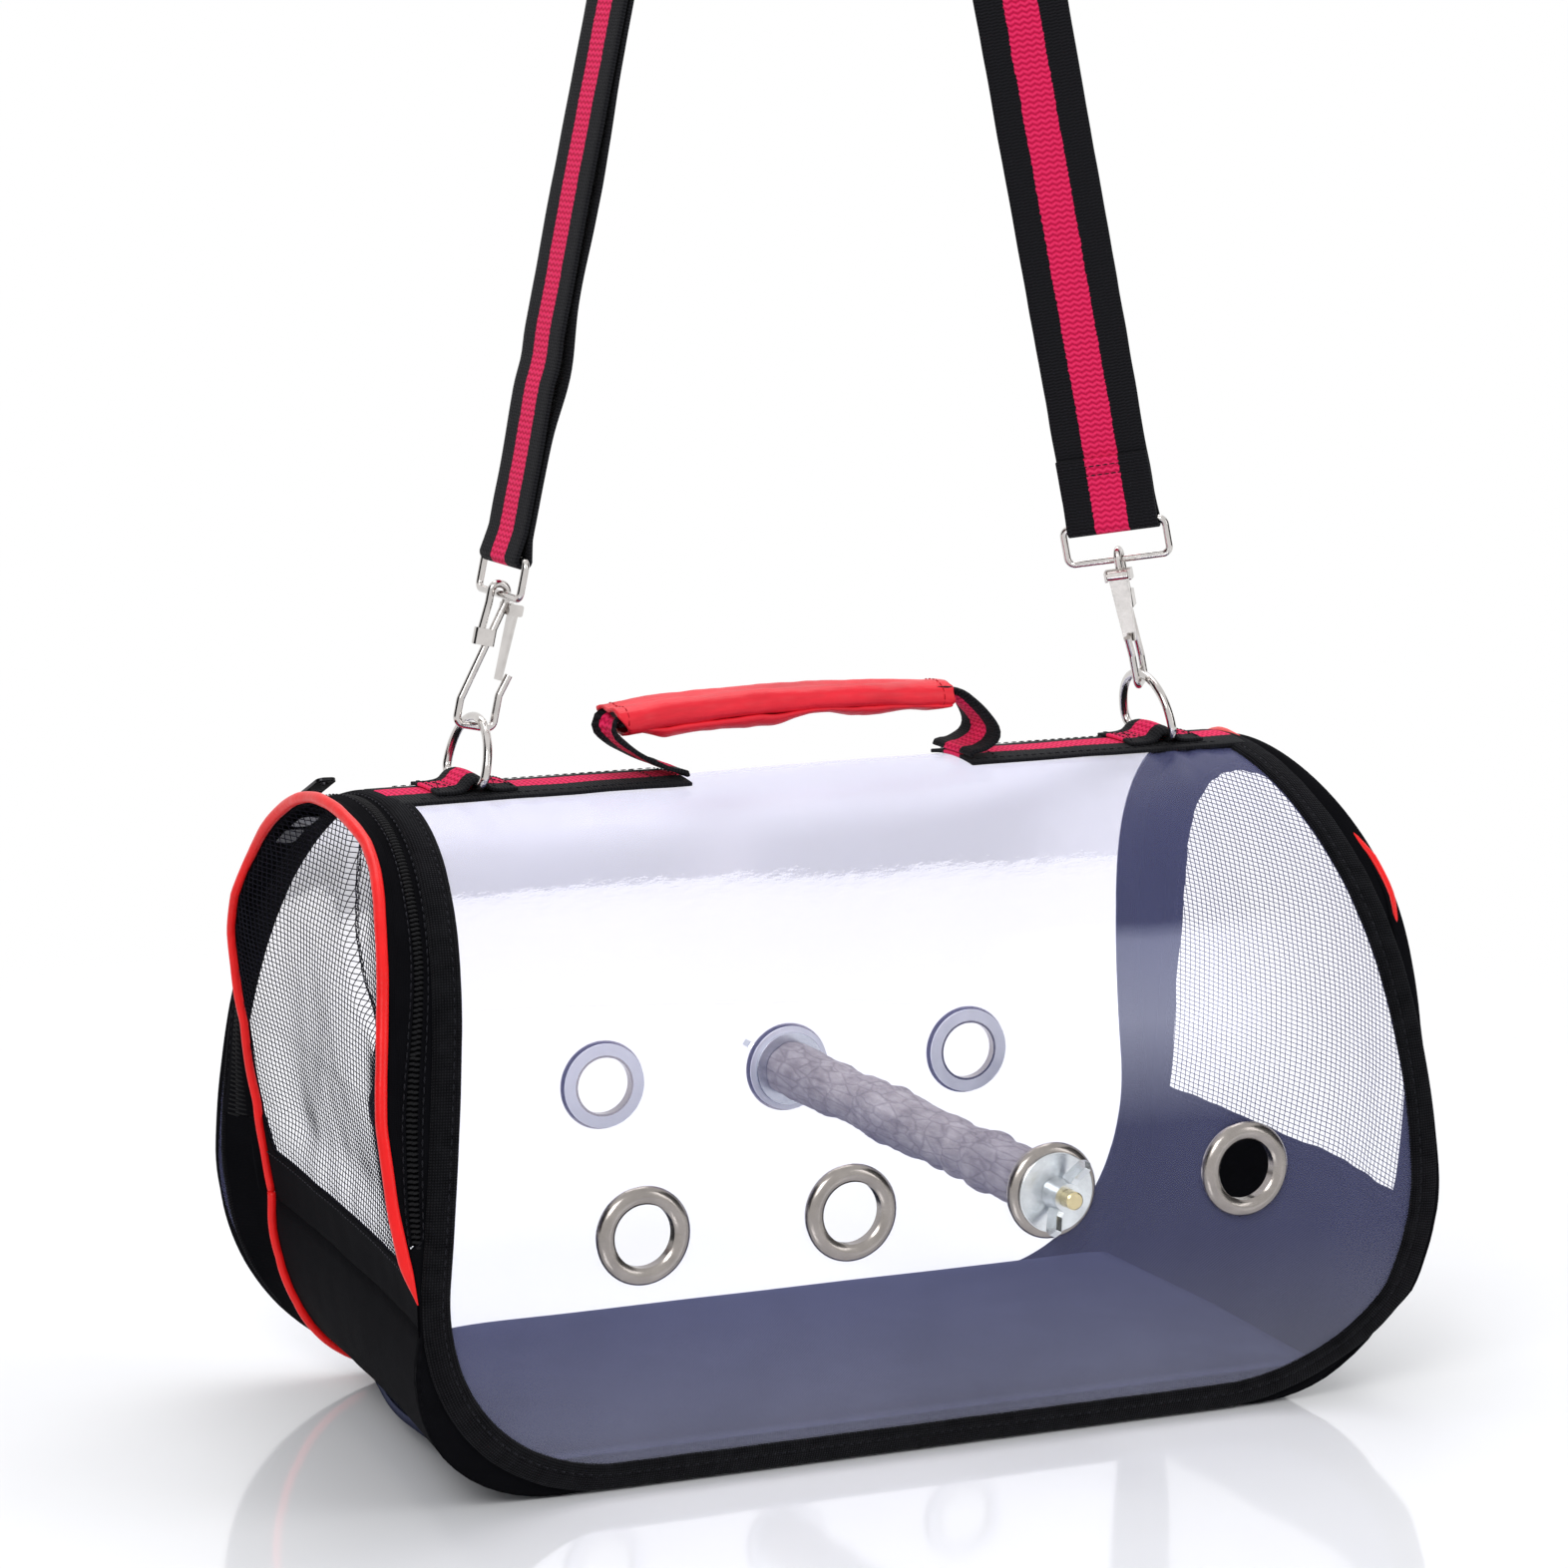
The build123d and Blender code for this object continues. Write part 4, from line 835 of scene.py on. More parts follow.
# -------------------------------- zip line and left band

ZIP_TOP, ZIP_TILT, ZIP_STRAIGHT, ZIP_CURVE, ZIP_END = 164.0, math.radians(14.0), 165.0, 100.0, 92.0
ZIP_BEND = (ZIP_STRAIGHT - ZIP_CURVE) / math.sin(ZIP_TILT)
ZIP_TURN, DOOR_TURN = turn_at(ZIP_END), turn_at(ZIP_END + 0.6)


def zip_x(z):
    """X of the middle of the zip at a height."""
    if z >= ZIP_STRAIGHT:
        return -ZIP_TOP - (RIDGE - z) * math.tan(ZIP_TILT)
    bend = -ZIP_TOP - (RIDGE - ZIP_STRAIGHT) * math.tan(ZIP_TILT)
    low = bend - ZIP_BEND * (1 - math.cos(ZIP_TILT))
    return low if z <= ZIP_CURVE else low + ZIP_BEND - math.sqrt(ZIP_BEND**2 - (z - ZIP_CURVE) ** 2)


def zip_share(turn, shift=0.0):
    """The fraction across the left corner strip at which the zip runs, moved by shift towards the door."""
    z = arch(turn)[1]
    edge, rim = -seam_x(z, BIND), -end_x(z, -1)
    return (zip_x(z) - shift - edge) / (rim - edge)


def left_strip(turn, f, lift):
    """The left corner strip; near the ridge only the door's side of the zip is pushed in."""
    z = arch(turn)[1]
    pushed = left_corner(turn, f, lift)
    edge, rim = -seam_x(z, BIND), -end_x(z, -1)
    y, zz = arch(turn, -lift)
    share = zip_share(turn)
    calm = (edge + (rim - edge) * f, y, zz)
    if f > share:
        k = (f - share) / (1 - share)
        calm = tuple(c + (a - b) * k for c, a, b in zip(calm, left_corner(turn, 1.0, lift), (rim, y, zz)))
    return lerp(pushed, calm, smooth(172.0, 196.0, z))


def band_edge(turn):
    """Where the left band stops: at the zip, and below it next to the door's cord."""
    z = arch(turn)[1]
    top = zip_share(turn, -1.9)
    low = 1.0 - (0.7 / abs(end_x(z, -1) - seam_x(z, BIND)) if z > FOLD_Z else 0.0)
    return top if z > ZIP_END + 2 else low + (top - low) * smooth(ZIP_END - 2, ZIP_END + 2, z)


def strip_path(place, lift, end, count):
    return [left_strip(t, place(t), lift) for t in turns(-end, end, count)]


left_rows = span_rows(left_strip, lambda t: -0.12, band_edge, FLOOR_TURN, 170, 9.0, 0.7, -0.15)
cloth("left band cloth", left_rows, "carrier", "left_band")
add_stitches("left band stitches", [strip_path(lambda t: band_edge(t) - 0.10, 0.5, ZIP_TURN, 160)], "carrier",
             pitch=3.2, length=2.2)
rim_rows = span_rows(left_strip, lambda t: zip_share(t, 1.9), lambda t: 1.0, DOOR_TURN, 150, 12.0, 1.1, -0.1)
cloth("door rim cloth", rim_rows, "door", "door_rim")
add_stitches("door rim stitches", [strip_path(lambda t: zip_share(t, 3.0), 0.75, DOOR_TURN, 150)], "door",
             pitch=3.2, length=2.2)

COIL_PITCH = 1.7
COIL_TURN = ((-0.35, -0.1), (0.4, 0.12), (1.3, 0.10), (2.0, -0.2))


def tape_rows(side, end):
    """Rows of the tape under one half of the zip; the two halves all but meet."""
    low, high = sorted((side * 0.04, side * 3.2))
    places = (low, (low + high) / 2, high)
    return [[left_strip(t, zip_share(t, s), -0.75) for s in places] for t in turns(-end, end, 150)]


def coil(side, end):
    """The looped coil of one half of the zip; the door's half is half a step on."""
    count = int((run_length(end) - run_length(-end)) / COIL_PITCH)
    shift = 0.5 * (end + end) / (count - 1) if side > 0 else 0.0
    return join([tube([left_strip(t + shift, zip_share(t + shift, side * s), h) for s, h in COIL_TURN],
                      [0.42, 0.58, 0.5, 0.35], 6) for t in turns(-end, end, count)[:count - (side > 0)]])


ZIP_HALVES = (("band", "carrier", -1, ZIP_TURN), ("door", "door", 1, DOOR_TURN))
for place, body, side, end in ZIP_HALVES:
    cloth(f"zip tape {place}", tape_rows(side, end), body, slot="zip_teeth", thickness=0.6)
for place, body, side, end in ZIP_HALVES:
    make(f"zip coil {place}", coil(side, end), body, "zip_teeth", teeth_plastic, f"zip_teeth_{place}")

# -------------------------------- door face


def back_corner(z):
    """The pushed-in back corner of the door end at a height."""
    level = z
    for _ in range(5):
        p = Vector(left_corner(turn_at(level), 1.0))
        level = max(0.3, min(RIDGE - 0.1, level + z - p.z))
    return p


def left_end(s, z):
    """A point on the left end from its front corner (s 0) to its back corner (s 1)."""
    p = Vector(left_corner(-turn_at(z), 1.0)).lerp(back_corner(z), s)
    soft = 4 * s * (1 - s)
    return p.x + (soft * 2.0 + soft * end_wave(p.y, z, 15.0, 0.9)), p.y, z


CREASE = [(-8.0, 207.0), (-13.0, 190.0), (-24.0, 174.0), (-42.0, 160.0), (-66.0, 152.0)]


def crease_distance(y, z):
    """Distance from the long crease in the door's mesh."""
    best = 1e9
    for (ay, az), (by, bz) in zip(CREASE, CREASE[1:]):
        dy, dz = by - ay, bz - az
        t = min(1.0, max(0.0, ((y - ay) * dy + (z - az) * dz) / (dy * dy + dz * dz)))
        best = min(best, math.hypot(y - ay - dy * t, z - az - dz * t))
    return best


def door_mesh_point(y, z):
    half = half_y(z)
    s = (y + half) / (2 * half)
    x, yy, zz = left_end(min(1.0, max(0.0, s)), z)
    soft = smooth(0.0, 0.25, s) * smooth(0.0, 0.25, 1 - s) * smooth(82.0, 104.0, z)
    x += soft * (4.0 + 0.25 * math.sin((y + z * 0.6) / 17.0))
    x += 3.2 * math.exp(-((crease_distance(y, z) / 3.2) ** 2)) * smooth(0.0, 0.12, s)
    x += smooth(150.0, 95.0, z) * soft * 0.35 * math.cos((y * 0.9 - z * 0.5) / 10.5)
    return x + 0.4, yy, zz


def in_door(y, z):
    return abs(y) < half_y(min(z, RIDGE - 0.4)) - 0.4 and z < RIDGE - 0.8


net("door net", door_mesh_point, in_door, (-104, 104), (80.5, RIDGE - 0.5), (3.4, 1.65), 0.33, "door",
    "door_mesh")


def low_panel_point(s, z):
    """The lower panel's rows rise against the back cord, where the door's rim has ended."""
    return left_end(s, z + 11.5 * smooth(0.95, 1.0, s) * smooth(66.0, 82.6, z))


door_low = [[low_panel_point(s / 72, z) for s in range(73)] for z in (64.6, 67, 70, 73, 76, 79, 81.6, 82.6)]
lower_panel = cloth("door lower panel", door_low, None, "door_panel")
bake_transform(lower_panel)
hem_line = [(x - 0.4, y, z) for x, y, z in (left_end(s / 36, 81.0) for s in range(37))]
add_stitches("door hem stitches", [hem_line], "door", pitch=3.2, length=2.2)

# -------------------------------- piping

DOOR_FOOT_FRONT, DOOR_FOOT_BACK = turn_at(74.0), turn_at(64.5)


def cord_path(low, high, count):
    """The middle line of the left end's piping."""
    out = []
    for t in turns(low, high, count):
        x, y, z = left_corner(t, 1.0, 0.6)
        out.append((x - 0.9 + 0.25 * wobble((x, y, z), 14.0, 7.0), y, z))
    return out


def door_cord_radius(i, p):
    """Thinner towards the back, and tapered at its front end."""
    thin = 0.45 * smooth(0.0, 45.0, p[1]) * smooth(205.0, 180.0, p[2])
    return (1.95 - thin) * smooth(-1.5, 6.0, i) + 0.12 * wobble(p, 11.0, 9.0)


door_cord = cord_path(-DOOR_FOOT_FRONT, DOOR_FOOT_BACK, 170)
door_radii = [door_cord_radius(i, p) for i, p in enumerate(door_cord)]
make("door cord", tube(door_cord, door_radii), "door", "red_piping", red_pipe, "door_piping")
flange = [[left_corner(t, 1.0 - 0.16 * k, 0.75 - 0.25 * k) for k in range(3)]
          for t in turns(-DOOR_FOOT_FRONT, DOOR_FOOT_BACK, 150)]
cloth("door piping flange", flange, "door", slot="red_piping", thickness=0.5)
make("lower cord", tube(cord_path(turn_at(64.35), turn_at(3.0), 40), 1.6), "carrier", "red_piping", red_pipe,
     "lower_piping")

right_cord, right_radii = [], []
for i, t in enumerate(turns(-turn_at(66.0), turn_at(66.0), 150)):
    y, z = arch(t)
    tuck = table(TUCK_RIGHT, z) * front_share(y)
    x, y, z = right_corner(t, 1.0, 0.6 - 0.4 * tuck)
    right_cord.append((x + 0.6 - tuck, y, z))
    right_radii.append((2.1 - 0.25 * tuck) * smooth(-1.5, 5.0, min(i, 149 - i)))
make("right end cord", tube(right_cord, right_radii), "carrier", "red_piping", red_pipe, "right_end_piping")

# -------------------------------- floor and lower ends

BASE_HEIGHTS = [64.9, 60, 54, 47, 40, 33, 26, 20, 15, 10.5, 7, 4.2, 2.2, 0.9, 0.25]
FLOOR_FLAT, ENDS = END_FOOT - END_FILLET, 41


def right_base_row(z):
    h = half_y(z)
    row = []
    for s in steps(ENDS, 0.0):
        y = h * (2 * s - 1)
        wave = 4 * s * (1 - s) * end_wave(y, z, 21.0) * smooth(0, 15, z)
        row.append((end_x(z, 1) + wave - smooth(-25.0, -h, y) * table(PUSH_RIGHT, z), y, z))
    return row


floor_half = half_y(0.3)
base_rows = [[left_end(s, z) for s in steps(ENDS, 0.0)] for z in BASE_HEIGHTS]
base_rows += [[(x, floor_half * t, 0.22) for t in steps(ENDS)]
              for x in steps(31, -FLOOR_FLAT, FLOOR_FLAT)[1:-1]]
base_rows += [right_base_row(z) for z in reversed(BASE_HEIGHTS)]
cloth("base cloth", base_rows, "carrier", "base_fabric")

PAD_LOW, PAD_HIGH = 4.8, 16.4
PAD_MID = (PAD_LOW + PAD_HIGH) / 2
PAD_X, PAD_Y = end_x(PAD_MID, 1, 2.3) - 1.5, half_y(PAD_MID, 2.6) - 1.5
PAD_NX, PAD_NY = 60, 40


def pad_point(a, b, top):
    """A point of the pad's outline square, drawn in where the soft ends are pushed in."""
    x, y = a * PAD_X, b * PAD_Y
    back, front = smooth(-0.2, 1.0, b), smooth(0.2, -1.0, b)
    near_left, near_right = smooth(-0.55, -1.0, a), smooth(0.55, 1.0, a)
    x += near_left * (back * table(PUSH_BACK_X, PAD_MID) + front * table(PUSH_FRONT, PAD_MID))
    x -= near_right * front * table(PUSH_RIGHT, PAD_MID)
    y -= near_left * back * (table(PUSH_BACK_Y, PAD_MID) + 1.0)
    edge = max(abs(a), abs(b)) ** 10
    z = PAD_MID + ((PAD_HIGH if top else PAD_LOW) - PAD_MID) * (1 - 0.75 * edge)
    if top:
        z += 0.9 * wobble((x, y, 0), 60.0, 11.0) * (1 - edge) - 0.5 * (1 - edge)
    return x, y, z


pad_top, pad_low = (grid([[pad_point(a, b, top) for b in steps(PAD_NY + 1)] for a in steps(PAD_NX + 1)])
                    for top in (True, False))
verts, faces, uv = join([pad_top, (pad_low[0], [tuple(reversed(q)) for q in pad_low[1]], pad_low[2])])
PAD_LINE = PAD_NY + 1
rim = list(range(PAD_LINE)) + [i * PAD_LINE + PAD_NY for i in range(1, PAD_NX + 1)]
rim += [PAD_NX * PAD_LINE + j for j in range(PAD_NY - 1, -1, -1)]
rim += [i * PAD_LINE for i in range(PAD_NX - 1, 0, -1)]
below = (PAD_NX + 1) * PAD_LINE
faces += [(a, b, b + below, a + below) for a, b in zip(rim, rim[1:] + rim[:1])]
floor_pad = make("floor cushion", outward((verts, faces, uv), (0, 0, 10)), "carrier", "pad_fabric", cloth_pad,
                 "floor_pad")

# -------------------------------- webbing on the ridge

STRAP_HALF = 16.0
RIDGE_FOOT = {-1: -54.5, 1: 52.4}


def webbing_strip(name, rows, body, *replaces, thickness=1.3, centre=MIDDLE):
    """Striped webbing through rows of points, with its edges rounded."""
    obj = make(name, outward(grid(rows), centre), body, "webbing", webbing, *replaces)
    solidify(obj, thickness, 0.0)
    bevel = obj.modifiers.new("edges", "BEVEL")
    bevel.width, bevel.segments, bevel.limit_method = 0.35 * MM, 2, "ANGLE"
    return obj


def ridge_rows(low, high):
    rows = []
    for x in steps(61, low, high):
        row = []
        for j, t in enumerate(steps(13)):
            across = STRAP_HALF * t + 0.25 * wobble((x, j, 0), 11.0, 3.0)
            lift = 0.85 + 0.25 * wobble((x, across, 0), 24.0, 5.0) + 0.2
            row.append((x, *arch(across / CROWN_R, -lift)))
        rows.append(row)
    return rows


webbing_strip("ridge webbing left", ridge_rows(-156.0, -52.6), "carrier", "top_strap_left")
webbing_strip("ridge webbing right", ridge_rows(50.2, 156.0), "carrier", "top_strap_right")
for sx, side in ((-1, "left"), (1, "right")):
    foot = RIDGE_FOOT[sx]
    lines = [[(x, *arch(y / CROWN_R, -1.95)) for y in range(-13, 14, 2)] for x in (foot, foot + sx * 9.0)]
    for y in (-13.2, 13.2):
        lines.append([(foot + sx * k, *arch(y / CROWN_R, -1.95)) for k in range(0, 96, 3)
                      if abs(abs(foot + sx * k) - RING_X) > 5])
    add_stitches(f"ridge stitches {side}", lines, "carrier", "webbing", pitch=3.0, length=2.0, radius=0.2)

TAB_HEIGHTS = [(0, 221.7), (2.2, 220.8), (4.6, 218.4), (8, 217.65), (14.0, 217.6)]
TAB_LINE = [(-x, z) for x, z in TAB_HEIGHTS[:0:-1]] + TAB_HEIGHTS
TAB_HALF = 12.6


def tab_rows(x0):
    """Rows of a tab over a D-ring's bar."""
    rows = []
    for x, _, z in resample([(x0 + dx, 0, z) for dx, z in TAB_LINE], 0.9):
        row = []
        for y in (TAB_HALF * t for t in steps(13)):
            drop = RIDGE - arch(y / CROWN_R)[1]
            droop = 0.5 * smooth(9.0, TAB_HALF, abs(y)) * smooth(6.0, 2.0, abs(x - x0))
            row.append((x, y, z - drop - droop + 0.12 * wobble((x, y, 0), 5.0, 6.0)))
        rows.append(row)
    return rows


def tab_seam(x0, y0, x1, y1):
    """Nine points straight across a tab."""
    line = [lerp((x0, y0), (x1, y1), t) for t in steps(9, 0.0)]
    return [(x, y, 218.45 - (RIDGE - arch(y / CROWN_R)[1])) for x, y in line]


for sx, side in ((-1, "left"), (1, "right")):
    webbing_strip(f"ring tab {side}", tab_rows(sx * RING_X), "carrier", *(("ring_tabs",) if sx < 0 else ()),
                  thickness=1.2)
    lines = []
    for k in (-1, 1):
        x_in, x_out = sx * RING_X + k * 6.5, sx * RING_X + k * 12.8
        lines += [tab_seam(x_in, -10.5, x_out, 10.5), tab_seam(x_in, 10.5, x_out, -10.5)]
        lines += [tab_seam(x, -10.8, x, 10.8) for x in (x_in, x_out)]
    add_stitches(f"ring tab stitches {side}", lines, "carrier", "webbing", pitch=2.6, length=1.9, radius=0.22)

# -------------------------------- handle

GRIP_L, GRIP_R = -76.0, 46.0
GRIP_MIDDLE, ABOVE_GRIP = (-12, 0, 238), (-12, 0, 300)


def grip_z(x):
    """Height of the grip's middle line."""
    span = (x - GRIP_L) / (GRIP_R - GRIP_L)
    return 235.0 + 1.5 * span + 4 * (238.5 - 235.75) * span * (1 - span) + 0.4


def grip_ring(x):
    """One section through the rolled grip, from the camera's side round and back."""
    span = (x - GRIP_L) / (GRIP_R - GRIP_L)
    wide = 10.4 - 0.8 * smooth(0.0, 1.0, span) + 0.3 * wobble((x, 0, 0), 22.0, 1.0)
    tall = 5.2 - 0.7 * span + 0.3 * wobble((x, 3, 0), 17.0, 2.0)
    row = []
    for a in round_angles(30):
        cy, cz = math.cos(a), math.sin(a)
        y = wide * math.copysign(abs(cy) ** 0.8, cy)
        z = tall * math.copysign(abs(cz) ** 0.8, cz)
        crease = 0.55 * wobble((x * 0.35, y, z), 6.0, 12.0) + 0.25 * wobble((x, y, z), 5.0, 4.0)
        # a long shallow channel where the roll has been pressed along its top
        z -= 1.3 * math.exp(-(((y + 1.5 + 0.02 * x) / 2.6) ** 2)) * (cz > 0) * smooth(1.02, 0.72, span)
        row.append((x, y + crease * cy, grip_z(x) + z + crease * cz))
    return row


grip_rows = []
for i, x in enumerate(steps(141, GRIP_L - 0.6, GRIP_R + 0.8)):
    ring = grip_ring(min(GRIP_R, max(GRIP_L, x)))
    ragged = 0.7 if i in (0, 140) else 0.0
    slant = 5.0 * (1 - smooth(0.0, 16.0, x - GRIP_L))
    grip_rows.append([])
    for k, (_, y, z) in enumerate(ring):
        shift = ragged * wobble((k, i, 0), 2.5, 8.0) + slant * smooth(4.0, -5.0, z - ring[0][2])
        grip_rows[-1].append((x + shift, y, z))
grip = make("grip", outward(grid(grip_rows, close_u=True), GRIP_MIDDLE), "handle", "grip_leather",
            red_leather, "handle_grip", "handle_core")
solidify(grip, 1.1)


def flap_depth(x):
    """How far the loose underlap of the grip hangs below the roll."""
    long_sag = (3.9 + 0.02 * x + 0.5 * math.sin(x / 5.5)) * smooth(-68.0, -56.0, x) * smooth(-3.0, -18.0, x)
    short_sag = 2.4 * math.exp(-(((x - 17.0) / 15.0) ** 2))
    return 0.3 + long_sag + short_sag + 0.9 * math.exp(-(((x - 40.0) / 5.0) ** 2))


flap_rows = []
for x in steps(111, -66.0, 46.5):
    deep = flap_depth(x)
    base_z = min(p[2] for p in grip_ring(min(GRIP_R, x)))
    row = []
    for t in steps(15, 0.0):
        y = -8.6 + 15.2 * t
        drop = (deep + 1.0) * math.sin(math.pi * min(1.0, t * 1.15 + 0.02)) ** 0.7
        row.append((x, y, base_z + 1.4 - drop + 0.35 * wobble((x, y, 0), 7.0, 5.0)))
    flap_rows.append(row)
cloth("grip underlap", flap_rows, "handle", slot="grip_leather", material=red_leather, thickness=0.9,
      centre=ABOVE_GRIP)
for x in (GRIP_L + 3.2, GRIP_R - 3.0):
    ring = grip_ring(x)
    mid = Vector((x, 0.0, grip_z(x)))
    path = [tuple(Vector(p) + (Vector(p) - mid).normalized() * 0.25) for p in ring + ring[:1]]
    add_stitches(f"grip stitches {round(x)}", [path], "handle", "grip_leather", stitch_red, pitch=2.8,
                 length=1.9, radius=0.22)
CORE_SIDES, CORE_WIDE, CORE_TALL = 16, 6.8, 3.0
core_rows = [[(x, CORE_WIDE * math.cos(a), grip_z(x) + CORE_TALL * math.sin(a))
              for a in round_angles(CORE_SIDES)] for x in steps(60, GRIP_L + 2.5, GRIP_R - 2.5)]
make("grip core", capped(grid(core_rows, close_u=True), CORE_SIDES), "handle", "grip_core", foam)

LEG_HALF, LEG_FOLDED, LEG_CURL = 14.6, 7.6, 3.4


def leg(side, points, curl):
    """Webbing that folds up from the ridge and curls into one end of the grip."""
    path = [Vector(p) for p in resample([(x, 0, z) for x, z in points], 1.6)]
    total = len(path) - 1
    across = Vector((0, 1, 0))
    rows = []
    for i, p in enumerate(path):
        k = smooth(0.25, 0.85, i / total)
        half = LEG_HALF + (LEG_FOLDED - LEG_HALF) * k
        n = across.cross(path[min(i + 1, total)] - path[max(i - 1, 0)]).normalized() * curl
        row = []
        for t in steps(15):
            lift = LEG_CURL * k * t * t + 0.35 * wobble((p.x, t * 9, p.z), 7.0, 3.0)
            row.append(tuple(p + across * (half * t) + n * lift))
        rows.append(row)
    obj = webbing_strip(f"handle webbing {side}", rows, None, f"handle_leg_{side}", thickness=1.35,
                        centre=ABOVE_GRIP)
    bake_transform(obj)


leg("left", [(-53.4, 217.0), (-54.2, 218.7), (-58, 219.4), (-63.5, 221.9), (-68.8, 225.4), (-73.0, 229.4),
             (-75.2, 232.6), (-74.2, 235.0), (-70.5, 235.2), (-64, 234.8)], -1.0)
leg("right", [(50.6, 217.0), (51.6, 218.6), (56, 219.2), (60.6, 222.0), (60.8, 226.0), (56.6, 230.6),
              (53.0, 233.6), (49.6, 235.6), (45.5, 236.4), (40, 236.6)], 1.0)

# -------------------------------- shoulder strap

LEAN, TWIST = math.radians(11.9), math.radians(50.0)
SIN_LEAN, COS_LEAN = math.sin(LEAN), math.cos(LEAN)
UP = {-1: Vector((SIN_LEAN, 0, COS_LEAN)), 1: Vector((-SIN_LEAN, 0, COS_LEAN))}
INWARD = {-1: Vector((COS_LEAN, 0, -SIN_LEAN)), 1: Vector((-COS_LEAN, 0, -SIN_LEAN))}
BAR_Z, BAR_UP = 218.8, 53.3
START = {side: Vector((side * RING_X, 0, BAR_Z)) + UP[side] * 21.0 for side in (-1, 1)}
PLY = 0.85
LOOP_R = 1.25 + 0.35 + 0.75
APEX_FROM, TWIST_FROM, CROWN_BEND = 315.0, 195.0, 40.0


def chain_axes(side, turn):
    """Nose and across directions of a strap end turned about its own length."""
    up, inward = UP[side], INWARD[side]
    nose = inward * math.cos(turn) + up.cross(inward) * math.sin(turn)
    return nose, nose.cross(up)


def end_rows(side, turn, low_ply, high_ply, kink):
    """Rows from the end of the inner ply, down round the ring and up the outer ply."""
    nose, across = chain_axes(side, turn)
    pts = [(PLY + kink(s), s) for s in steps(int((low_ply - 9) / 3) + 1, low_ply, 9.0)]
    pts += [(PLY + (LOOP_R - PLY) * t, 9.0 * (1 - t)) for t in (0.25, 0.5, 0.75)]
    pts += [(LOOP_R * math.cos(a), -LOOP_R * math.sin(a)) for a in steps(11, 0.0, math.pi)]
    pts += [(-LOOP_R + (LOOP_R - PLY) * t, 9.0 * t) for t in (0.25, 0.5, 0.75)]
    pts += [(-PLY - 0.25 * kink(s) + 0.5 * kink(s + 8.0) * math.exp(-(((s - 66.0) / 7.0) ** 2)), s)
            for s in steps(int((high_ply - 9) / 3) + 1, 9.0, high_ply)]
    rows = []
    for x, s in pts:
        c = START[side] + UP[side] * (BAR_UP + s) + nose * x
        row = []
        for t in steps(11):
            edge = 0.22 * wobble((s, t * 20, x), 12.0, 4.0)
            ruck = 0.15 * wobble((s, t * 16, x), 17.0, 9.0)
            row.append(tuple(c + across * (STRAP_HALF * t + edge) + nose * ruck))
        rows.append(row)
    return rows


def left_kink(s):
    """The inner ply's slack: it stands off the outer one below a crease."""
    return 0.3 + 2.4 * math.exp(-(((s - 62.0) / 16.0) ** 2)) + 1.2 * math.exp(-(((s - 120.0) / 30.0) ** 2))


def ply_point(side, turn, up_by):
    """The middle of the outer ply of a strap end."""
    return START[side] + UP[side] * (BAR_UP + up_by) - chain_axes(side, turn)[0] * PLY


left_top, right_top = ply_point(-1, 0.0, APEX_FROM), ply_point(1, 0.0, APEX_FROM)
reach = CROWN_BEND * COS_LEAN
bend_z = left_top.z + (-reach - left_top.x) / math.tan(LEAN)
centre_z = bend_z - CROWN_BEND * SIN_LEAN
high = Vector((reach + (bend_z - right_top.z) * math.tan(LEAN), 0, right_top.z))
crown = [left_top.lerp(Vector((-reach, 0, bend_z)), i / 14) for i in range(1, 14)]
crown += [Vector((CROWN_BEND * math.cos(a), 0, centre_z + CROWN_BEND * math.sin(a)))
          for a in steps(41, math.pi - LEAN, LEAN)]
crown += [Vector((reach, 0, bend_z)).lerp(high, i / 14) for i in range(1, 14)]
crown_rows = [[(p.x, STRAP_HALF * t, p.z + 0.15 * wobble((p.x, j * 3.0, p.z), 17.0, 9.0))
               for j, t in enumerate(steps(11))] for p in crown]
low = ply_point(1, TWIST, TWIST_FROM)
twist_rows = []
for i in range(1, 40):
    t = 1 - i / 40
    across = chain_axes(1, TWIST * (1 - smooth(0.0, 1.0, t)))[1]
    twist_rows.append([tuple(low.lerp(high, t) + across * (STRAP_HALF * u)) for u in steps(11)])


def same_way(rows, last):
    """Rows whose points run the same way across the strap as the last row before them."""
    a, b = Vector(last[-1]) - Vector(last[0]), Vector(rows[0][-1]) - Vector(rows[0][0])
    return rows if a.dot(b) > 0 else [list(reversed(r)) for r in rows]


strap_rows = end_rows(-1, 0.0, 238.0, APEX_FROM, left_kink)
for part in (crown_rows, twist_rows, end_rows(1, TWIST, 24.0, TWIST_FROM, lambda s: 0.0)[::-1]):
    strap_rows += same_way(part, strap_rows[-1])
webbing_strip("shoulder webbing", strap_rows, "strap", "shoulder_strap", thickness=1.35)

for side, name, turn, levels, offset in ((1, "right", TWIST, (18.0, 21.2), 1.65),
                                         (-1, "left", 0.0, (236.0, 233.0), 1.75)):
    nose, across = chain_axes(side, turn)
    lines = []
    for level in levels:
        for sign in (-1, 1):
            c = START[side] + UP[side] * (BAR_UP + level) + nose * (offset * sign)
            lines.append([tuple(c + across * (side * t)) for t in steps(12, -14.5, 14.5)])
    add_stitches(f"strap stitches {name}", lines, "strap", "webbing", pitch=2.4, length=1.8, radius=0.24)

# -------------------------------- perch

PERCH_X, PERCH_HALF, PERCH_SIDES, PERCH_ROWS = 36.0, 99.2, 56, 161
SWELLINGS = ((-0.60, 1.5, 3.2), (-0.28, 0.8, 4.0), (0.18, 1.1, 3.0), (0.62, 0.9, 5.0))
KNOTS = ((-0.45, 3.6), (0.35, 1.1), (-0.05, 5.0))


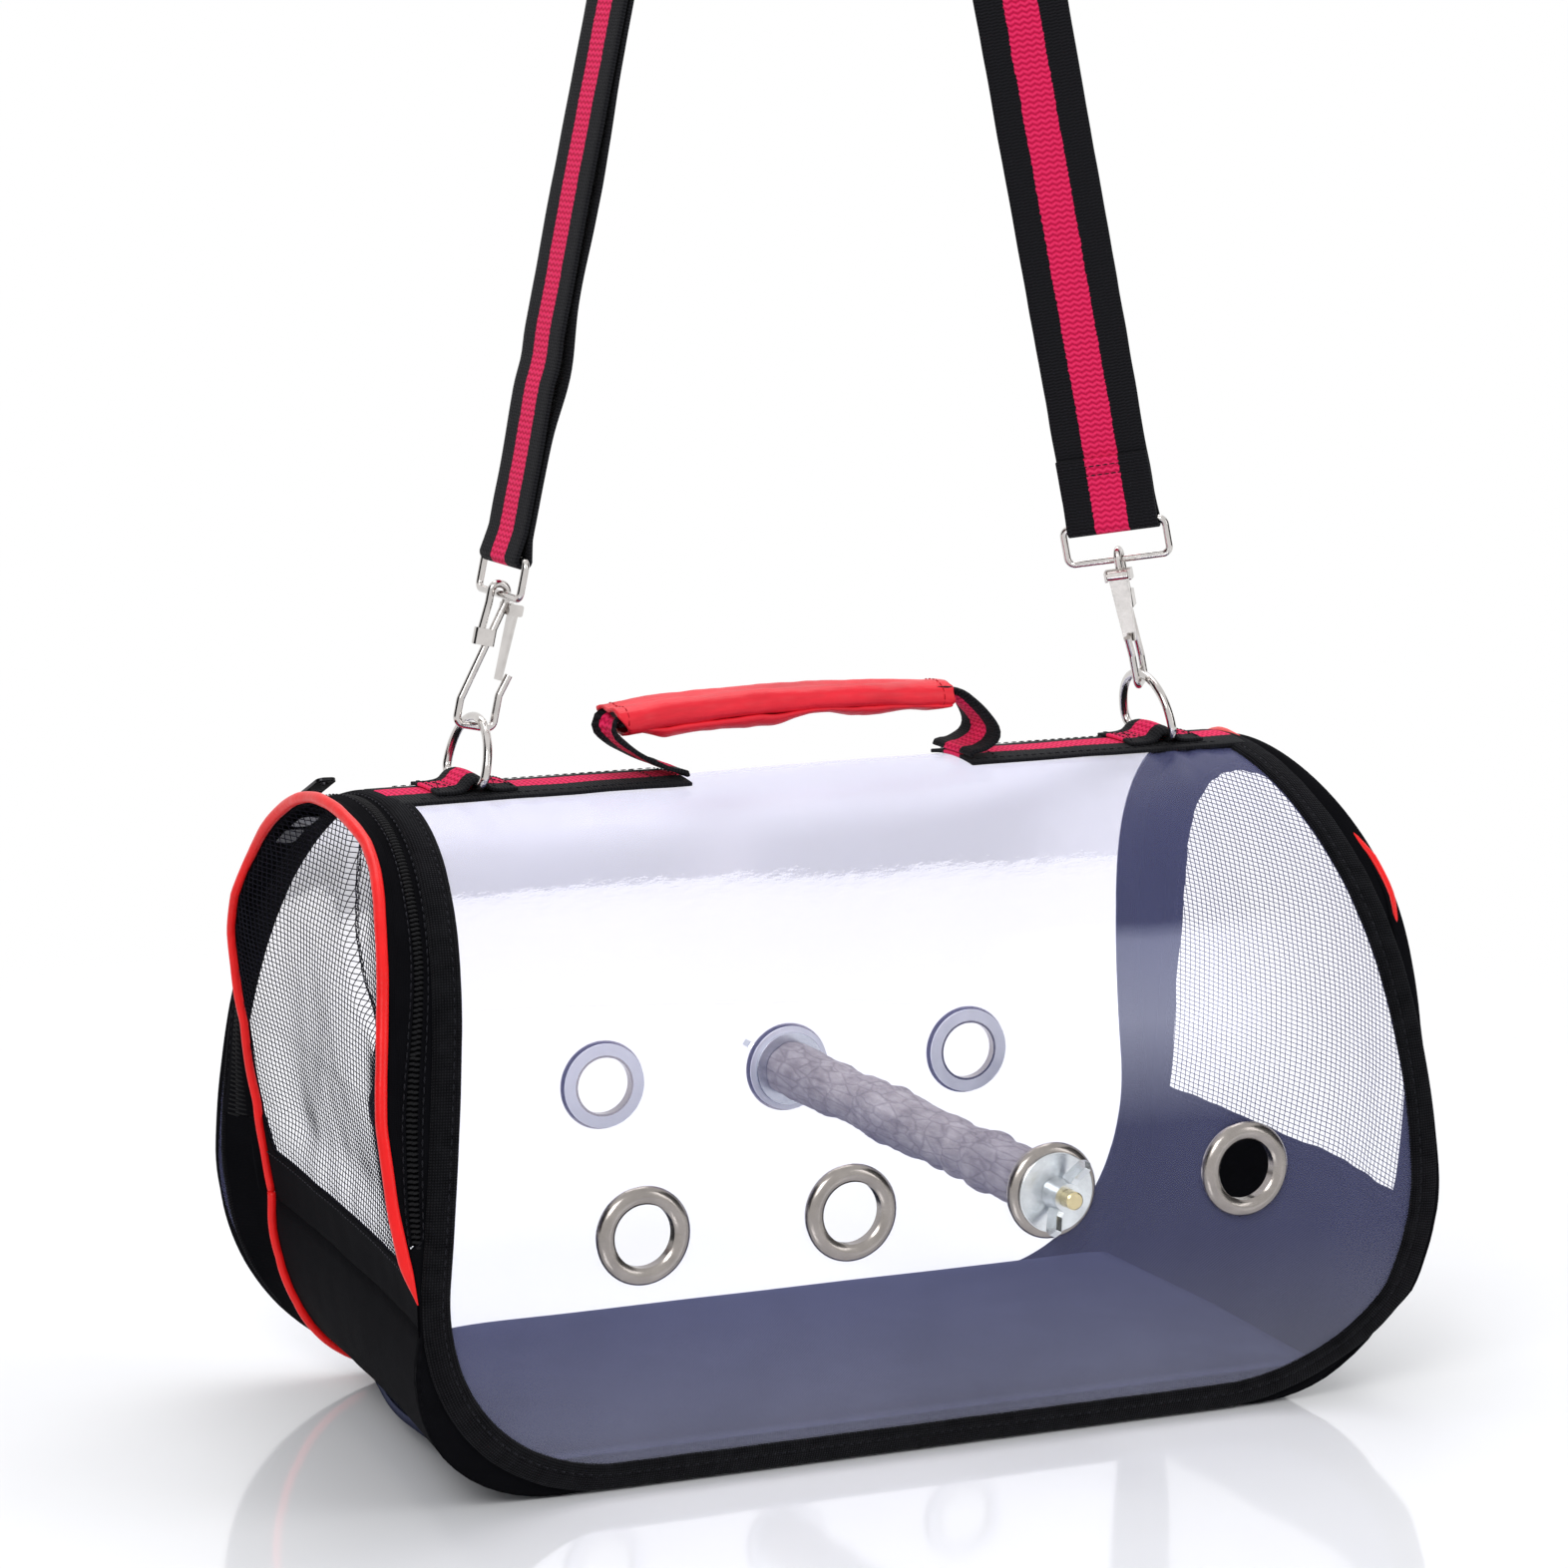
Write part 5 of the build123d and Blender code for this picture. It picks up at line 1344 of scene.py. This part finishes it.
def bark_radius(y, a):
    """The branch's radius at a place along it and an angle round it."""
    base = 9.3 + 0.5 * math.sin(y / PERCH_HALF * 7.0 + 1.0)
    for centre, size, width in SWELLINGS:
        base += size * math.exp(-(((y - centre * PERCH_HALF + 1.5 * math.sin(a)) / width) ** 2))
    p = (math.cos(a) * 9, y * 0.35, math.sin(a) * 9)
    base += 0.75 * wobble(p, 6.0, 5.0) + 0.35 * wobble((p[0], y, p[2]), 3.0, 9.0)
    for centre, angle in KNOTS:
        d = math.hypot((y - centre * PERCH_HALF) / 6.0, math.remainder(a - angle, 2 * math.pi) * 1.8)
        base += 1.7 * math.exp(-(d * d)) - 1.4 * math.exp(-((d * 2.6) ** 2))
    return min(10.9, base)


perch_rows = [[(PERCH_X + bark_radius(y, a) * math.cos(a), y, BULGE_Z + bark_radius(y, a) * math.sin(a))
               for a in round_angles(PERCH_SIDES)] for y in (PERCH_HALF * t for t in steps(PERCH_ROWS))]
make("perch branch", outward(capped(grid(perch_rows, close_u=True), PERCH_SIDES), (PERCH_X, 0, BULGE_Z)),
     "carrier", "branch", bark, "perch")

# -------------------------------- finishes of the hardware, which keeps its CAD shape

for material, names in (
        (board_plastic, "base_board"), (brass, "perch_studs"), (black_plastic, "strap_adjuster"),
        (dark_nickel, "eyelets_front eyelets_back eyelet_washers_front"), (pale_zinc, "eyelet_washers_back"),
        (zinc, "perch_washers_inner perch_washers_outer wing_nut_front wing_nut_back"),
        (nickel, "d_ring_left d_ring_right snap_hook_left snap_hook_right hook_gate_left hook_gate_right"),
        (nickel, "hook_ferrule_left hook_ferrule_right strap_ring_left strap_ring_right"),
        (black_metal, "zip_slider_front zip_slider_back zip_pull_front zip_pull_back")):
    for name in names.split():
        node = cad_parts[name]
        node.data.materials.clear()
        node.data.materials.append(material)

# -------------------------------- stage, light and camera


def stage_plane(name, corners, material):
    mesh = bpy.data.meshes.new(name)
    mesh.from_pydata([tuple(c * MM for c in p) for p in corners], [], [(0, 1, 2, 3)])
    obj = new_object(name, mesh)
    mesh.materials.append(material)
    return obj


def floor_material():
    """Pale acrylic floor with a faint soft reflection, fading out around the carrier."""
    n = Nodes("pale floor")
    base = n.coords("Object")
    tone = n.ramp(n.noise(base, 14.0), (0.0, (0.93, 0.93, 0.94)), (1.0, (0.97, 0.97, 0.975)))
    gloss = n.add("BsdfGlossy", Color=WHITE, Roughness=0.07)
    pale = n.add("MixShader", 0.20, n.add("BsdfDiffuse", Color=tone), gloss)
    x, y, _ = n.split(base)
    fade = n.ramp((x * x + y * y).math("SQRT") * (1 / 1.2), (0.22, NONE), (0.70, FULL))
    return n.finish(n.add("MixShader", fade, pale, n.add("BsdfTransparent", Color=WHITE)))


def card_material(name, shade):
    n = Nodes(name)
    tone = n.ramp(n.noise(n.coords("Object"), 3.0), (0.0, (shade,) * 3), (1.0, (shade * 1.3,) * 3))
    return n.finish(n.add("BsdfDiffuse", Color=tone))


FLOOR_Z, FLOOR_NEAR, FLOOR_FAR = -0.6, 6000, 9000
corners = [(k * FLOOR_NEAR, y) for y, ways in ((-FLOOR_NEAR, (-1, 1)), (FLOOR_FAR, (1, -1))) for k in ways]
stage_plane("floor", [(x, y, FLOOR_Z) for x, y in corners], floor_material())
dark_card = card_material("dark card", 0.015)
CARD_DISTANCE, CARD_FOOT = 1700.0, 120.0


def card(name, azimuth, width, high):
    """A dark upright card, at an azimuth from the -Y axis, that only the metal reflects."""
    ends = [math.radians(azimuth + k * width / 2) for k in (-1, 1)]
    (x0, y0), (x1, y1) = [(-CARD_DISTANCE * math.sin(a), -CARD_DISTANCE * math.cos(a)) for a in ends]
    foot = [(x0, y0, CARD_FOOT), (x1, y1, CARD_FOOT)]
    plane = stage_plane(name, foot + [(x1, y1, high), (x0, y0, high)], dark_card)
    plane.visible_camera = plane.visible_diffuse = plane.visible_shadow = False


card("card left", 96.0, 58.0, 1500.0)
card("card right", -66.0, 50.0, 1400.0)

n = Nodes("studio", bpy.data.worlds, "World")
rays = n.add("LightPath").socket.node.outputs
seen, mirrored, through = (Wire(n, rays[f"Is {ray} Ray"]) for ray in ("Camera", "Glossy", "Transmission"))
seen = seen.math("ADD", mirrored.math("ADD", through, clamp=True), clamp=True)
soft_sky = n.add("Background", Color=(0.93, 0.95, 1.0, 1.0), Strength=0.62)
white_sky = n.add("Background", Color=WHITE, Strength=1.0)
bpy.context.scene.world = n.finish(n.add("MixShader", seen, soft_sky, white_sky))


def soft_light(name, place, size, power):
    """A square lamp aimed at the middle of the carrier."""
    data = bpy.data.lights.new(name, "AREA")
    data.shape, data.size, data.energy = "SQUARE", size, power
    obj = new_object(name, data)
    obj.location = Vector(place) * MM
    obj.rotation_euler = (Vector((0, 0, 150)) - Vector(place)).to_track_quat("-Z", "Y").to_euler()


soft_light("key", (-1500, -1700, 1700), 1.1, 26.0)
soft_light("fill", (1700, -1500, 900), 1.3, 14.0)
soft_light("top", (200, 700, 1900), 1.4, 16.0)

EYE, AIM = Vector((-732.1, -1571.6, 491.5)), Vector((-12.3, 0.0, 209.7))
camera_data = bpy.data.cameras.new("camera")
camera_data.lens, camera_data.sensor_width, camera_data.clip_end = 120.05, 36.0, 100.0
camera = new_object("camera", camera_data)
camera.location = EYE * MM
camera.rotation_euler = (AIM - EYE).to_track_quat("-Z", "Y").to_euler()
bpy.context.scene.camera = camera
bpy.context.scene.view_settings.view_transform = "Standard"
